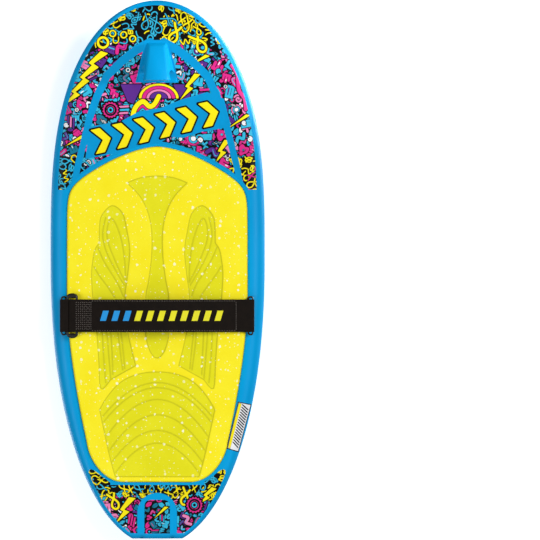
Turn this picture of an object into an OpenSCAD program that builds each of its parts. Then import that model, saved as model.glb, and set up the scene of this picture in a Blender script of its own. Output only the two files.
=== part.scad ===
// Kneeboard: a foam-filled moulded board with a knee pad, a tow hook and a padded lap strap.
// Millimetres. The origin is on the ground under the middle of the board.
// +X is the rider's right, +Y points to the nose and +Z is up.

/* [Board] */
// Length of the board from nose to tail
board_length = 1270; // [1262:2:1290]
// Width of the board where it is widest
board_width = 508; // [504:1:516]
// Height of the deck above the ground amidships
deck_height = 62; // [60:1:68]
// How far the bottom rises from the ground at the nose
nose_lift = 92; // [80:1:100]
// How far the bottom rises from the ground at the tail
tail_lift = 45; // [40:1:50]
// Thickness of the moulded skin
skin = 4; // [3:0.5:5]

/* [Knee pad] */
// Y of the pad's front edge
pad_front = 292; // [286:1:296]
// Y of the pad's rear edge
pad_rear = -501; // [-506:1:-496]
// Half the width of the pad amidships
pad_half = 213.5; // [212:0.5:214]
// Depth of the pocket that the pad is glued into
pocket_depth = 8; // [6:0.5:10]
// How far the pad stands above the deck
pad_proud = 7; // [5:0.5:8]

/* [Tow hook] */
// Y of the hook's rear edge
hook_rear = 444; // [440:1:448]
// Length of the hook along the board
hook_length = 96; // [90:1:100]
// Height of the hook's rear edge above the ground
hook_top = 126; // [122:1:130]
// Radius at the bottom of the slot for the tow handle
slot_radius = 13; // [11:0.5:13]

/* [Strap] */
// Y of the strap's middle line
strap_y = -108; // [-112:1:-104]
// Width of the webbing
webbing_width = 77; // [70:1:78]
// Thickness of the webbing
webbing = 2; // [1.5:0.1:2]
// How far the strap arches up over the knees
strap_rise = 26; // [20:1:34]
// Thickness of the strap's foam
strap_foam = 6; // [5:0.5:7]

/* [Hidden] */

half_l = board_length / 2;
half_w = board_width / 2;

// Outline of the board: it is widest between these two stations.
wide_front = 60;
wide_rear = 20;
tail_reach = half_l + 37;
nose_power = 2.75;
tail_power = 2.2;

// Where the bottom leaves the ground and the deck starts to rise.
rocker_front = 150;
rocker_rear = -250;
deck_front = 100;
deck_rear = -150;
nose_kick = 54;
tail_kick = 17;

// Section of the board: shares of the half width that are flat, and the height of the rail line.
hull_flat = 0.45;
deck_flat = 0.86;
rail_share = 0.45;
end_round = 18;
tip = 0.15;

// Sampling of the skin and of the coarser cavity inside it.
skin_steps = [12, 24];
cavity_steps = [8, 14];
cavity_reach = half_l - 30;
core_gap = 0.3;

// Fill plug, hidden under the knee pad.
plug_y = 60;
plug_r = 11.8;
plug_boss_r = 20;
plug_boss_depth = 10;

// Strap anchors: pivot of each ring, on the board's right side.
anchor_x = half_w - 38.5;
anchor_z = deck_height + 4.5;
anchor_length = 56;
plate_in = anchor_x - 21.5;
plate_out = anchor_x + 6.5;
plate_thick = 3;
barrel_r = 4.3;
pin_gap = 0.05;
screw_x = anchor_x - 13.5;
screw_pitch = 36;
screw_r = 2.5;
insert_r = 4;
insert_length = 14;
boss_depth = 22;

// Wire rings and the buckle ring.
wire_r = 2;
ring_span = 14;
ring_tilt = 45;
ring_straight = 79;
ring_corner = 5;
hinge_x = anchor_x + ring_span * cos(ring_tilt);
hinge_z = anchor_z + ring_span * sin(ring_tilt);
rod_r = 3;
buckle_out = anchor_x - 4.5;
buckle_in = anchor_x - 25.5;
buckle_z = deck_height + 15.5;

// Heights of the strap's layers at its ends, before the arch lifts them.
web_gap = 0.3;
tail_z = deck_height + 13.4;
hook_pile = 1.6;
loop_pile = 1.4;
lap_gap = 0.3;
strap_z = tail_z + webbing / 2 + hook_pile + lap_gap + loop_pile;
ply_gap = 0.1;
strap_left = -170;
strap_flap = -207;
strap_right = 184;
tail_end = -110;
padding_left = -96;
padding_right = 176;
cover_thick = 1;
print_thick = 0.4;

// ---- Shape of the board ----

function clamp(v, low, high) = min(max(v, low), high);

function half_width(y) =
    y > wide_front ? half_w * sqrt(1 - pow((y - wide_front) / (half_l - wide_front), nose_power))
  : y < wide_rear ? half_w * sqrt(1 - pow((wide_rear - y) / tail_reach, tail_power))
  : half_w;

function hull_z(y) =
    y > rocker_front ? nose_lift * pow((y - rocker_front) / (half_l - rocker_front), 2)
  : y < rocker_rear ? tail_lift * pow((rocker_rear - y) / (half_l + rocker_rear), 2)
  : 0;

function deck_z(y) = deck_height + (
    y > deck_front ? nose_kick * pow((y - deck_front) / (half_l - deck_front), 2)
  : y < deck_rear ? tail_kick * pow((deck_rear - y) / (half_l + deck_rear), 2)
  : 0);

function rail_z(y) = hull_z(y) + rail_share * (deck_z(y) - hull_z(y));

// 1 on the flat of the section, falling to 0 at the rail line.
function roll(s, flat, power) = sqrt(1 - pow(clamp((s - flat) / (1 - flat), 0, 1), power));
function deck_roll(s) = roll(s, deck_flat, 2.2);
function hull_roll(s) = roll(s, hull_flat, 2.4);

// Thins the section to a rounded edge at the nose and the tail.
function end_roll(y) =
    let (d = half_l - abs(y))
    d < end_round ? sqrt(1 - pow(1 - d / end_round, 2)) : 1;

function top_z(x, y) =
    rail_z(y) + (deck_z(y) - rail_z(y)) * end_roll(y) * deck_roll(abs(x) / half_width(y));

// One closed ring of the loft, from the left rail over the deck and back under the hull.
function ring_points(y, at, inset, n) =
    let (w = half_width(at) - inset,
         rail = rail_z(at),
         up = (deck_z(at) - inset - rail) * end_roll(y),
         down = (rail - hull_z(at) - inset) * end_roll(y))
    concat(
        [for (i = [-n:n]) let (s = sin(90 * i / n)) [w * s, at, rail + up * deck_roll(abs(s))]],
        [for (i = [n - 1:-1:1 - n]) let (s = sin(90 * i / n)) [w * s, at, rail - down * hull_roll(abs(s))]]
    );

module board_loft(inset, reach, steps) {
    n = steps[0];
    m = steps[1];
    size = 4 * n;
    stations = [for (j = [-m:m]) clamp(half_l * sin(90 * j / m), tip - half_l, half_l - tip)];
    points = [for (y = stations) each ring_points(y, y * reach / (half_l - tip), inset, n)];
    sides = [
        for (j = [0:2 * m - 1], i = [0:size - 1])
        let (a = j * size, b = a + size, k = (i + 1) % size)
        each [[a + i, b + i, b + k], [a + i, b + k, a + k]]
    ];
    first = [for (i = [0:size - 1]) i];
    last = [for (i = [size - 1:-1:0]) 2 * m * size + i];
    polyhedron(points, concat([first, last], sides), convexity = 6);
}

// ---- Shape of the knee pad ----

pad_side = -71;
pad_corner = -409;
pad_corner_x = 80;

function blend_min(a, b) = pow(pow(a, -12) + pow(b, -12), -1 / 12);
function pad_edge(y) = pad_half - (y < pad_side ? 8 * pow((pad_side - y) / 111, 1.6) : 0);
function pad_width(y) =
    y < pad_corner
    ? pad_corner_x + (pad_edge(pad_corner) - pad_corner_x)
        * sqrt(1 - pow((pad_corner - y) / (pad_corner - pad_rear), 1.5))
    : blend_min(187 * pow((pad_front - y) / 80, 0.61), pad_edge(y));

module pad_outline() {
    n = 14;
    arch = [for (i = [0:n]) pad_front - 0.1 - 160 * pow(i / n, 2)];
    side = [for (i = [1:n]) lerp(pad_front - 160, pad_corner, i / n)];
    heel = [for (i = [1:n]) pad_corner - (pad_corner - pad_rear) * sin(90 * i / n)];
    stations = concat(arch, side, heel);
    difference() {
        polygon(concat(
            [for (y = stations) [pad_width(y), y]],
            [for (i = [len(stations) - 1:-1:0]) [-pad_width(stations[i]), stations[i]]]
        ));
        for (side = [-1, 1]) {
            translate([side * anchor_x, strap_y]) square([6, 104], center = true);
            translate([side * anchor_x, strap_y]) square([46, anchor_length + 4], center = true);
        }
    }
}

function lerp(a, b, t) = a + (b - a) * t;

// A slab across the board that follows the deck between two heights above it.
module deck_slab(low, high) {
    stations = [for (i = [0:32]) lerp(pad_rear - 10, pad_front + 10, i / 32)];
    rotate([90, 0, 90])
        linear_extrude(2 * half_w, center = true)
            polygon(concat(
                [for (y = stations) [y, deck_z(y) + low]],
                [for (i = [len(stations) - 1:-1:0]) [stations[i], deck_z(stations[i]) + high]]
            ));
}

module pocket(grow, low) {
    intersection() {
        linear_extrude(200) offset(r = 0.8 + grow) pad_outline();
        deck_slab(low - grow, 100);
    }
}

// ---- Board ----

module plug_hole_axis() translate([0, plug_y, deck_height - pocket_depth]) children();

module plug_boss(grow) {
    plug_hole_axis() translate([0, 0, -plug_boss_depth - skin - grow])
        cylinder(r = plug_boss_r + grow, h = 60, $fn = 40);
}

module anchor_bosses(grow) {
    for (side = [-1, 1])
        translate([side * screw_x, strap_y, deck_height - boss_depth / 2])
            cube([24 + 2 * grow, screw_pitch + 30 + 2 * grow, boss_depth + 2 * grow], center = true);
}

// The solid block that carries the finger grip at the tail.
module tail_block(grow) translate([0, -half_l, 0]) cube([110 + 2 * grow, 2 * (94 + grow), 300], center = true);

// Space inside the skin.
module cavity(grow) {
    difference() {
        board_loft(skin + grow, cavity_reach - grow, cavity_steps);
        pocket(skin + grow, -pocket_depth);
        plug_boss(grow);
        anchor_bosses(grow);
        tail_block(grow);
    }
}

module bar_across(y, z, half, thick) translate([0, y, z]) cube([2 * half, 0.2, thick], center = true);

module hook_body() {
    front = hook_rear + hook_length;
    hull() {
        bar_across(hook_rear, deck_z(hook_rear) - 3, 48.5, 0.2);
        bar_across(front, deck_z(front) - 3, 25, 0.2);
        bar_across(hook_rear + 2, hook_top, 26, 0.2);
        bar_across(front - 10, hook_top - 20, 17, 0.2);
    }
}

module hook_slot() {
    z = deck_z(hook_rear + 14) + 0.3 + slot_radius;
    hull() {
        for (y = [hook_rear - 30, hook_rear + 14])
            translate([0, y, z]) rotate([0, 90, 0]) cylinder(r = slot_radius, h = 120, center = true, $fn = 32);
    }
}

// Everything under the deck where the hook stands.
module hook_bed() {
    stations = [for (i = [-1:9]) hook_rear + hook_length * i / 8];
    rotate([90, 0, 90]) linear_extrude(120, center = true)
        polygon(concat([for (y = stations) [y, deck_z(y) + ply_gap]], [[stations[10], 0], [stations[0], 0]]));
}

grip_y = -595;
grip_slope = atan(-2 * tail_lift * (rocker_rear - grip_y) / pow(half_l + rocker_rear, 2));
module on_tail_hull() translate([0, grip_y, hull_z(grip_y)]) rotate([grip_slope, 0, 0]) children();

// The arched channel around the finger grip.
module grip_channel() {
    r = 35.5;
    arch = [for (a = [0:22.5:180]) r * [cos(a), sin(a)]];
    path = concat([[r, -70]], arch, [[-r, -70]]);
    on_tail_hull() translate([0, 4, 1])
        for (i = [0:len(path) - 2]) hull() {
            for (p = [path[i], path[i + 1]]) translate([p[0], p[1], 0]) sphere(4.5, $fn = 12);
        }
}

module grip_ribs() {
    for (i = [0:5])
        on_tail_hull() translate([0, 18 - 9 * i, 1]) hull() {
            for (x = [-17, 17]) translate([x, 0, 0]) sphere(2.4, $fn = 12);
        }
}

// The hook is one moulding with the skin. It is a node of its own so that its slot stays open.
module tow_hook() color([0.03, 0.58, 0.81]) {
    difference() {
        hook_body();
        hook_slot();
        hook_bed();
    }
}

module shell() color([0.03, 0.58, 0.81]) {
    difference() {
        board_loft(0, half_l - tip / 2, skin_steps);
        pocket(0, -pocket_depth);
        cavity(0);
        plug_hole_axis() translate([0, 0, -plug_boss_depth - skin - 2])
            cylinder(r = plug_r + 0.4, h = 40, $fn = 32);
        plug_hole_axis() translate([0, 0, -3.5]) cylinder(r = 16.6, h = 10, $fn = 40);
        grip_channel();
        for (side = [-1, 1], k = [-1, 1])
            translate([side * screw_x, strap_y + k * screw_pitch / 2, deck_height - insert_length - 0.6])
                cylinder(r = insert_r + 0.1, h = 40, $fn = 32);
    }
    grip_ribs();
}

module foam_core() color([0.93, 0.88, 0.7]) cavity(core_gap);

module fill_plug() color([0.1, 0.1, 0.11]) {
    plug_hole_axis() {
        difference() {
            union() {
                translate([0, 0, -1.7]) cylinder(r = 16, h = 1.6, $fn = 64);
                translate([0, 0, -12]) cylinder(r = plug_r, h = 10.5, $fn = 64);
            }
            translate([0, 0, -1.2]) cube([18, 3, 2.4], center = true);
        }
    }
}

module plug_seal() color([0.15, 0.15, 0.16]) {
    plug_hole_axis() translate([0, 0, -2.6]) rotate_extrude($fn = 64) translate([14, 0]) circle(0.88, $fn = 24);
}

module knee_pad() color([0.98, 0.92, 0.12]) {
    intersection() {
        linear_extrude(200) pad_outline();
        deck_slab(0.1 - pocket_depth, pad_proud);
    }
}

// ---- Printed films ----

film = 0.3;
art_margin = 14;

// A thin film on the deck between two curves x = inner(y) and x = outer(y).
module deck_film(y0, y1, steps, inner, outer) {
    n = 10;
    cols = n + 1;
    rows = steps + 1;
    grid = [for (j = [0:steps], i = [0:n]) 
        let (y = lerp(y0, y1, j / steps), across = sin(90 * i / n)) [lerp(inner(y), outer(y), across), y]];
    low = [for (p = grid) [p[0], p[1], top_z(p[0], p[1]) + 0.05]];
    high = [for (p = low) [p[0], p[1], p[2] + film]];
    half = rows * cols;
    faces = [for (j = [0:steps - 1], i = [0:n - 1])
        let (a = j * cols + i, b = a + 1, c = a + cols, d = c + 1)
        each [[a, b, d], [a, d, c], [half + a, half + d, half + b], [half + a, half + c, half + d]]];
    rim = concat(
        [for (i = [0:n]) i],
        [for (j = [1:steps]) j * cols + n],
        [for (i = [n - 1:-1:0]) steps * cols + i],
        [for (j = [steps - 1:-1:1]) j * cols]
    );
    walls = [for (k = [0:len(rim) - 1])
        let (a = rim[k], b = rim[(k + 1) % len(rim)])
        each [[b, a, half + a], [b, half + a, half + b]]];
    polyhedron(concat(low, high), concat(faces, walls), convexity = 6);
}

horn_y = 190;
hook_clear = 60;
function art_outer(y) = half_width(y) - art_margin;
function nose_inner(y) =
    y < pad_front + 10 ? min(pad_width(min(y, pad_front) - 12) + 6, art_outer(y) - 1)
  : y < hook_rear - 30 ? 2
  : y < hook_rear - 10 ? lerp(2, hook_clear, (y - hook_rear + 30) / 20)
  : y < hook_rear + hook_length + 5 ? lerp(hook_clear, 34, (y - hook_rear + 10) / (hook_length + 15))
  : y < hook_rear + hook_length + 25 ? lerp(34, 2, (y - hook_rear - hook_length - 5) / 20)
  : 2;

module nose_graphic() color([0.12, 0.13, 0.2]) {
    for (side = [0, 1]) mirror([side, 0, 0])
        deck_film(horn_y, half_l - art_margin, 36, function(y) nose_inner(y), function(y) art_outer(y));
}

tail_arch = 50;
function tail_inner(y) =
    y > pad_rear - 8 ? min(pad_width(max(y, pad_rear + 2) + 2) + 9, art_outer(y) - 1)
  : y > -525 ? 2
  : y > -532 ? lerp(2, tail_arch, (-525 - y) / 7)
  : tail_arch;

// Half the width of the small film inside the bare arch.
function tail_tab(y) = y > -557 ? 16 + 14 * sqrt(1 - pow((y + 557) / 14, 2)) : 30;

module tail_graphic() color([0.12, 0.13, 0.2]) {
    for (side = [0, 1]) mirror([side, 0, 0])
        deck_film(-606, -455, 22, function(y) tail_inner(y), function(y) max(art_outer(y), tail_inner(y) + 2));
    deck_film(-622, -543.1, 12, function(y) -tail_tab(y), function(y) tail_tab(y));
}

module rail_label() color([0.93, 0.93, 0.9]) {
    deck_film(-432, -316, 12, function(y) half_width(y) - 32, function(y) half_width(y) - 4);
}

// ---- Strap anchors ----

module along_y(length) translate([0, length / 2, 0]) rotate([90, 0, 0]) linear_extrude(length) children();

module rod_y(x, z, r, length) {
    translate([x, strap_y, z]) rotate([90, 0, 0]) cylinder(r = r, h = length, center = true, $fn = 48);
}

module anchor() {
    difference() {
        union() {
            translate([plate_in, strap_y - anchor_length / 2, deck_height])
                cube([plate_out - plate_in, anchor_length, plate_thick]);
            rod_y(anchor_x, anchor_z, barrel_r, anchor_length);
        }
        rod_y(anchor_x, anchor_z, wire_r + pin_gap, anchor_length + 2);
        for (k = [-1, 1])
            translate([screw_x, strap_y + k * screw_pitch / 2, deck_height - 1])
                cylinder(r = screw_r + 0.25, h = plate_thick + 2, $fn = 32);
    }
}

module left_anchor() color([0.13, 0.13, 0.14]) mirror([1, 0, 0]) anchor();
module right_anchor() color([0.13, 0.13, 0.14]) anchor();

module at_screws() {
    for (side = [-1, 1], k = [-1, 1])
        translate([side * screw_x, strap_y + k * screw_pitch / 2, deck_height]) children();
}

module anchor_inserts() color([0.8, 0.64, 0.3]) {
    at_screws() translate([0, 0, -insert_length - 0.1]) difference() {
        cylinder(r = insert_r, h = insert_length, $fn = 32);
        translate([0, 0, 1]) cylinder(r = screw_r + 0.05, h = insert_length, $fn = 32);
    }
}

washer_thick = 1;
module anchor_washers() color([0.75, 0.76, 0.78]) {
    at_screws() translate([0, 0, plate_thick]) difference() {
        cylinder(r = 5.5, h = washer_thick, $fn = 32);
        translate([0, 0, -1]) cylinder(r = screw_r + 0.2, h = 3, $fn = 32);
    }
}

module anchor_screws() color([0.75, 0.76, 0.78]) {
    at_screws() translate([0, 0, plate_thick + washer_thick]) difference() {
        union() {
            cylinder(r = 4.6, h = 2.8, $fn = 32);
            translate([0, 0, -15]) cylinder(r = screw_r, h = 15.5, $fn = 32);
        }
        for (turn = [0, 90]) rotate(turn) translate([0, 0, 2.3]) cube([5, 1.1, 1.6], center = true);
    }
}

// ---- Rings ----

// A rod bent to a rounded rectangle in the X-Y plane, with its inboard bar on the Y axis.
module bent_ring(span, straight, corner, r) {
    end = span - 2 * corner;
    for (x = [0, span]) translate([x, 0, 0]) rotate([90, 0, 0]) cylinder(r = r, h = straight, center = true, $fn = 48);
    for (side = [0, 1]) mirror([0, side, 0]) {
        translate([span - corner, straight / 2, 0])
            rotate_extrude(angle = 90, $fn = 48) translate([corner, 0]) circle(r, $fn = 48);
        translate([corner, straight / 2, 0]) rotate(90)
            rotate_extrude(angle = 90, $fn = 48) translate([corner, 0]) circle(r, $fn = 48);
        if (end > 0)
            translate([corner, straight / 2 + corner, 0]) rotate([0, 90, 0]) cylinder(r = r, h = end, $fn = 48);
    }
}

module wire_ring() {
    translate([anchor_x, strap_y, anchor_z]) rotate([0, -ring_tilt, 0])
        bent_ring(ring_span, ring_straight, ring_corner, wire_r);
}

module left_ring() color([0.1, 0.1, 0.11]) mirror([1, 0, 0]) wire_ring();
module right_ring() color([0.1, 0.1, 0.11]) wire_ring();

module buckle_ring() color([0.06, 0.06, 0.07]) {
    span = norm([buckle_out - buckle_in, 1]);
    translate([-buckle_out, strap_y, buckle_z - 0.5]) rotate([0, -atan(1 / (buckle_out - buckle_in)), 0])
        bent_ring(span, ring_straight, span / 2, rod_r);
}

// ---- Webbing ----

// Height that the arch adds at x.
function lift(x) = abs(x) < strap_right ? strap_rise * pow(cos(90 * x / strap_right), 2) : 0;
function arc(x, z, r, from, to, n = 14) =
    [for (i = [0:n]) let (a = lerp(from, to, i / n)) [x + r * cos(a), z + r * sin(a)]];
function layer(from, to, z, n) = [for (i = [0:n]) let (x = lerp(from, to, i / n)) [x, z + lift(x)]];

// Points of a path moved sideways by d.
function side_of(path, d) = [
    for (i = [0:len(path) - 1])
    let (a = path[max(i - 1, 0)],
         b = path[min(i + 1, len(path) - 1)],
         u = (b - a) / norm(b - a))
    path[i] + d * [-u[1], u[0]]
];

module ribbon(path, thick, width) {
    left = side_of(path, thick / 2);
    right = side_of(path, -thick / 2);
    translate([0, strap_y, 0]) along_y(width)
        polygon(concat(left, [for (i = [len(right) - 1:-1:0]) right[i]]));
}

module slab(from, to, low, high, width, n = 24) {
    translate([0, strap_y, 0]) along_y(width)
        polygon(concat(layer(from, to, low, n), [for (p = layer(to, from, high, n)) p]));
}

module band_2d(x0, z0, r0, x1, z1, r1) {
    hull() {
        translate([x0, z0]) circle(r0, $fn = 40);
        translate([x1, z1]) circle(r1, $fn = 40);
    }
}

module buckle_belt() color([0.11, 0.1, 0.09]) {
    translate([0, strap_y, 0]) along_y(webbing_width) difference() {
        band_2d(-hinge_x, hinge_z, wire_r + web_gap + webbing,
                -buckle_out, buckle_z - 0.5, rod_r + web_gap + webbing);
        band_2d(-hinge_x, hinge_z, wire_r + web_gap, -buckle_out, buckle_z - 0.5, rod_r + web_gap);
    }
}

// The tail loops around the buckle's inboard bar and runs under the strap.
tail_loop = rod_r + web_gap + webbing / 2;
module tail_webbing() color([0.11, 0.1, 0.09]) {
    x = -buckle_in;
    z = buckle_z + 0.5;
    loop_end = tail_z + webbing + 0.05;
    path = concat(
        [[-172, loop_end + lift(-172)], [-176, loop_end + 0.1 + lift(-176)], [-180, loop_end + 0.6]],
        arc(x, z, tail_loop, 25, 270),
        layer(x + 8, tail_end, tail_z, 14)
    );
    ribbon(path, webbing, webbing_width);
}

module hook_patch() color([0.05, 0.05, 0.05]) {
    low = tail_z + webbing / 2;
    slab(-168, -113, low + ply_gap, low + hook_pile, webbing_width - 6);
}

stitch_r = 0.4;
stitch_length = 2.6;
module stitch_row(x0, x1, z, y, n) {
    for (i = [0:n - 1]) {
        x = lerp(x0, x1, i / (n - 1));
        translate([x, strap_y + y, z + lift(x)]) rotate([0, 90, 0])
            cylinder(r = stitch_r, h = stitch_length, center = true, $fn = 16);
    }
}

module cross_row(x, z, reach, n) {
    for (i = [0:n - 1])
        translate([x, strap_y + lerp(-reach, reach, i / (n - 1)), z + lift(x)]) rotate([90, 0, 0])
            cylinder(r = stitch_r, h = stitch_length, center = true, $fn = 16);
}

module tail_stitching() color([0.2, 0.19, 0.18]) {
    for (y = [-36.5, 36.5]) stitch_row(-164, -118, tail_z + webbing / 2 + 0.45, y, 12);
}

// The left end is a flap that lies over the tail's loop and the buckle.
module strap_webbing() color([0.11, 0.1, 0.09]) {
    z = strap_z + webbing / 2;
    r = wire_r + web_gap + webbing / 2;
    low = z - webbing - 5 * ply_gap;
    over = buckle_z + 0.5 + tail_loop + webbing + web_gap;
    path = concat(
        [[strap_flap, over - 1.2], [strap_flap + 6, over - 0.3], [strap_flap + 12, over],
         [-buckle_in + 1, over], [-buckle_in + 5, over - 0.8], [-buckle_in + 9, over - 2.4],
         [-buckle_in + 14, z + 0.5]],
        layer(strap_left, strap_right, z, 36),
        [[strap_right + 16, z - 0.4]],
        arc(hinge_x, hinge_z, r, 80, -90, 16),
        [[hinge_x - 12, hinge_z - r + 0.6], [hinge_x - 24, low - 0.9], [hinge_x - 34, low]]
    );
    ribbon(path, webbing, webbing_width);
}

module loop_patch() color([0.05, 0.05, 0.05]) {
    slab(-168, -106, strap_z - loop_pile, strap_z - ply_gap, webbing_width - 6);
}

module strap_padding() color([0.16, 0.15, 0.15]) {
    slab(padding_left, padding_right, strap_z - strap_foam, strap_z - ply_gap, webbing_width - 4);
}

module strap_cover() color([0.09, 0.09, 0.09]) {
    high = strap_z - strap_foam - ply_gap;
    slab(padding_left - 3, padding_right + 3, high - cover_thick, high, webbing_width);
}

module strap_binding() color([0.07, 0.07, 0.07]) {
    for (side = [-1, 1])
        translate([0, side * (webbing_width / 2 - 0.95), 0])
            slab(padding_left - 3, padding_right + 3, strap_z - strap_foam, strap_z - ply_gap, 1.9);
}

module strap_stitching() color([0.3, 0.29, 0.28]) {
    z = strap_z + webbing + 0.45;
    for (y = [-35, 35]) stitch_row(-165, 180, z, y, 58);
    for (x = [-156, 186.5]) cross_row(x, z, 32, 14);
}

bar_count = 11;
bar_pitch = 27;
bar_length = 20;
module strap_print() color([0.1, 0.55, 0.85]) {
    low = strap_z + webbing + ply_gap;
    for (i = [0:bar_count - 1]) {
        x = -134 + bar_pitch * i;
        slab(x, x + bar_length, low, low + print_thick, 24, 4);
    }
}

shell();
tow_hook();
foam_core();
fill_plug();
plug_seal();
knee_pad();
nose_graphic();
tail_graphic();
rail_label();
left_anchor();
right_anchor();
anchor_inserts();
anchor_washers();
anchor_screws();
left_ring();
right_ring();
buckle_belt();
buckle_ring();
tail_webbing();
hook_patch();
tail_stitching();
strap_webbing();
strap_padding();
strap_cover();
loop_patch();
strap_binding();
strap_stitching();
strap_print();
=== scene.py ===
"""Looks of the kneeboard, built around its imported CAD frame.

Shapes are worked out in millimetres and scaled to metres when they become meshes.
+X is the rider's right, +Y points to the nose and +Z is up.
"""

import math
import random

import bmesh
import bpy
import numpy as np
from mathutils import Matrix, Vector


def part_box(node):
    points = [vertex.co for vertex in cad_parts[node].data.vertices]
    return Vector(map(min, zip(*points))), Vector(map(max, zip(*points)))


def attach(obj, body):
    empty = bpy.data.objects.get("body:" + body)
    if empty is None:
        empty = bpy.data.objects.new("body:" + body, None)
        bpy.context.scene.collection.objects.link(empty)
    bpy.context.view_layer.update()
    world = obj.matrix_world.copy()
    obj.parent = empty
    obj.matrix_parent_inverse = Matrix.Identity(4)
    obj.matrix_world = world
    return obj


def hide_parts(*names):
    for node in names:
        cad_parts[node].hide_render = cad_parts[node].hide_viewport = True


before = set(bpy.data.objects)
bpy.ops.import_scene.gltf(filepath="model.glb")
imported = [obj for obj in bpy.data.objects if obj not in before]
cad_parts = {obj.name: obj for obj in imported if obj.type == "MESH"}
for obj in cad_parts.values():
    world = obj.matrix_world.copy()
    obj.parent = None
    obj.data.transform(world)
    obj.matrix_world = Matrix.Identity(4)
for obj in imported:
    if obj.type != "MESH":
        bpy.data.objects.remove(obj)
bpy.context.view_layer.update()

MM = 0.001
FAR = 1e3


def box_mm(node):
    low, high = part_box(node)
    return np.array(low) / MM, np.array(high) / MM


# ---- Driving sizes, from the frame ----

HALF_W, HALF_L = box_mm("shell")[1][:2]
DECK = box_mm("left_anchor")[0][2]
PAD_REAR, PAD_FRONT = box_mm("knee_pad")[0][1], box_mm("knee_pad")[1][1]
PAD_HALF = box_mm("knee_pad")[1][0]
STRAP_LOW, STRAP_HIGH = box_mm("strap_webbing")
STRAP_Y = (STRAP_LOW[1] + STRAP_HIGH[1]) / 2
WEBBING_WIDTH = STRAP_HIGH[1] - STRAP_LOW[1]
HOOK_LOW, HOOK_HIGH = box_mm("tow_hook")

# ---- Shape of the board ----

WIDE_FRONT, WIDE_REAR = 60, 20
TAIL_REACH = HALF_L + 37
NOSE_POWER, TAIL_POWER = 2.75, 2.2
NOSE_LIFT, TAIL_LIFT = 92, 45
ROCKER_FRONT, ROCKER_REAR = 150, -250
DECK_FRONT, DECK_REAR = 100, -150
NOSE_KICK, TAIL_KICK = 54, 17
HULL_FLAT, DECK_FLAT = 0.45, 0.86
HULL_ROUND, DECK_ROUND = 2.4, 2.2
RAIL_SHARE = 0.45
END_ROUND = 18
TIP = 0.1


def half_width(y):
    front = np.clip((y - WIDE_FRONT) / (HALF_L - WIDE_FRONT), 0, 1) ** NOSE_POWER
    rear = np.clip((WIDE_REAR - y) / TAIL_REACH, 0, 1) ** TAIL_POWER
    return HALF_W * np.sqrt(1 - front) * np.sqrt(1 - rear)


def rise(y, front, rear, nose, tail):
    """Height gained towards each end, from 0 between front and rear."""
    ahead = np.clip((y - front) / (HALF_L - front), 0, None)
    behind = np.clip((rear - y) / (HALF_L + rear), 0, None)
    return nose * ahead**2 + tail * behind**2


def hull_z(y):
    return rise(y, ROCKER_FRONT, ROCKER_REAR, NOSE_LIFT, TAIL_LIFT)


def deck_z(y):
    return DECK + rise(y, DECK_FRONT, DECK_REAR, NOSE_KICK, TAIL_KICK)


def rail_z(y):
    return hull_z(y) + RAIL_SHARE * (deck_z(y) - hull_z(y))


def roll(s, flat, power):
    """1 on the flat of the section, falling to 0 at the rail."""
    return np.sqrt(1 - np.clip((s - flat) / (1 - flat), 0, 1) ** power)


def deck_roll(s):
    return roll(s, DECK_FLAT, DECK_ROUND)


def hull_roll(s):
    return roll(s, HULL_FLAT, HULL_ROUND)


def end_roll(y):
    """Thins the section to a rounded edge at the nose and the tail."""
    inward = np.clip((HALF_L - abs(y)) / END_ROUND, 0, 1)
    return np.sqrt(1 - (1 - inward) ** 2)


def top_z(x, y):
    s = np.clip(abs(x) / half_width(y), 0, 1)
    return rail_z(y) + (deck_z(y) - rail_z(y)) * end_roll(y) * deck_roll(s)


# ---- Helpers for outlines ----


def smoothstep(t):
    t = np.clip(t, 0, 1)
    return t * t * (3 - 2 * t)


def curve_through(points, steps=6):
    """A smooth curve through the points."""
    p = np.array([points[0], *points, points[-1]], float)
    found = []
    for a, b, c, d in zip(p, p[1:], p[2:], p[3:]):
        if (b == c).all():
            continue
        for t in np.arange(steps) / steps:
            bend, twist = 2 * a - 5 * b + 4 * c - d, 3 * b - a - 3 * c + d
            found.append(0.5 * (2 * b + (c - a) * t + bend * t**2 + twist * t**3))
    return [tuple(q) for q in found] + [tuple(p[-1])]


def arc(x, y, r, start, end, n=18):
    """Points along an arc from one angle in degrees to another."""
    return [(x + r * math.cos(a), y + r * math.sin(a)) for a in np.radians(np.linspace(start, end, n + 1))]


def line_distance(x, y, path, closed=False):
    """Distance to a line through the points of a path."""
    best = np.full(np.shape(x), FAR)
    ends = list(path[1:]) + ([path[0]] if closed else [])
    for (ax, ay), (bx, by) in zip(path, ends):
        ex, ey = bx - ax, by - ay
        t = np.clip(((x - ax) * ex + (y - ay) * ey) / max(ex * ex + ey * ey, 1e-9), 0, 1)
        best = np.minimum(best, np.hypot(x - ax - t * ex, y - ay - t * ey))
    return best


def area_distance(x, y, corners):
    """Distance to a closed outline, negative inside it."""
    inside = np.zeros(np.shape(x), bool)
    for (ax, ay), (bx, by) in zip(corners, list(corners[1:]) + [corners[0]]):
        crosses = (ay > y) != (by > y)
        inside ^= crosses & (x < ax + (y - ay) * (bx - ax) / ((by - ay) or 1e-9))
    away = line_distance(x, y, corners, closed=True)
    return np.where(inside, -away, away)


# ---- Helpers for meshes ----


def add_object(name, data):
    """Puts a mesh, a light or a camera into the scene."""
    made = bpy.data.objects.new(name, data)
    bpy.context.scene.collection.objects.link(made)
    return made


def new_mesh(name, points, faces):
    """A mesh from points in millimetres."""
    mesh = bpy.data.meshes.new(name)
    mesh.from_pydata((np.asarray(points) * MM).tolist(), [], faces)
    return mesh


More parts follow.
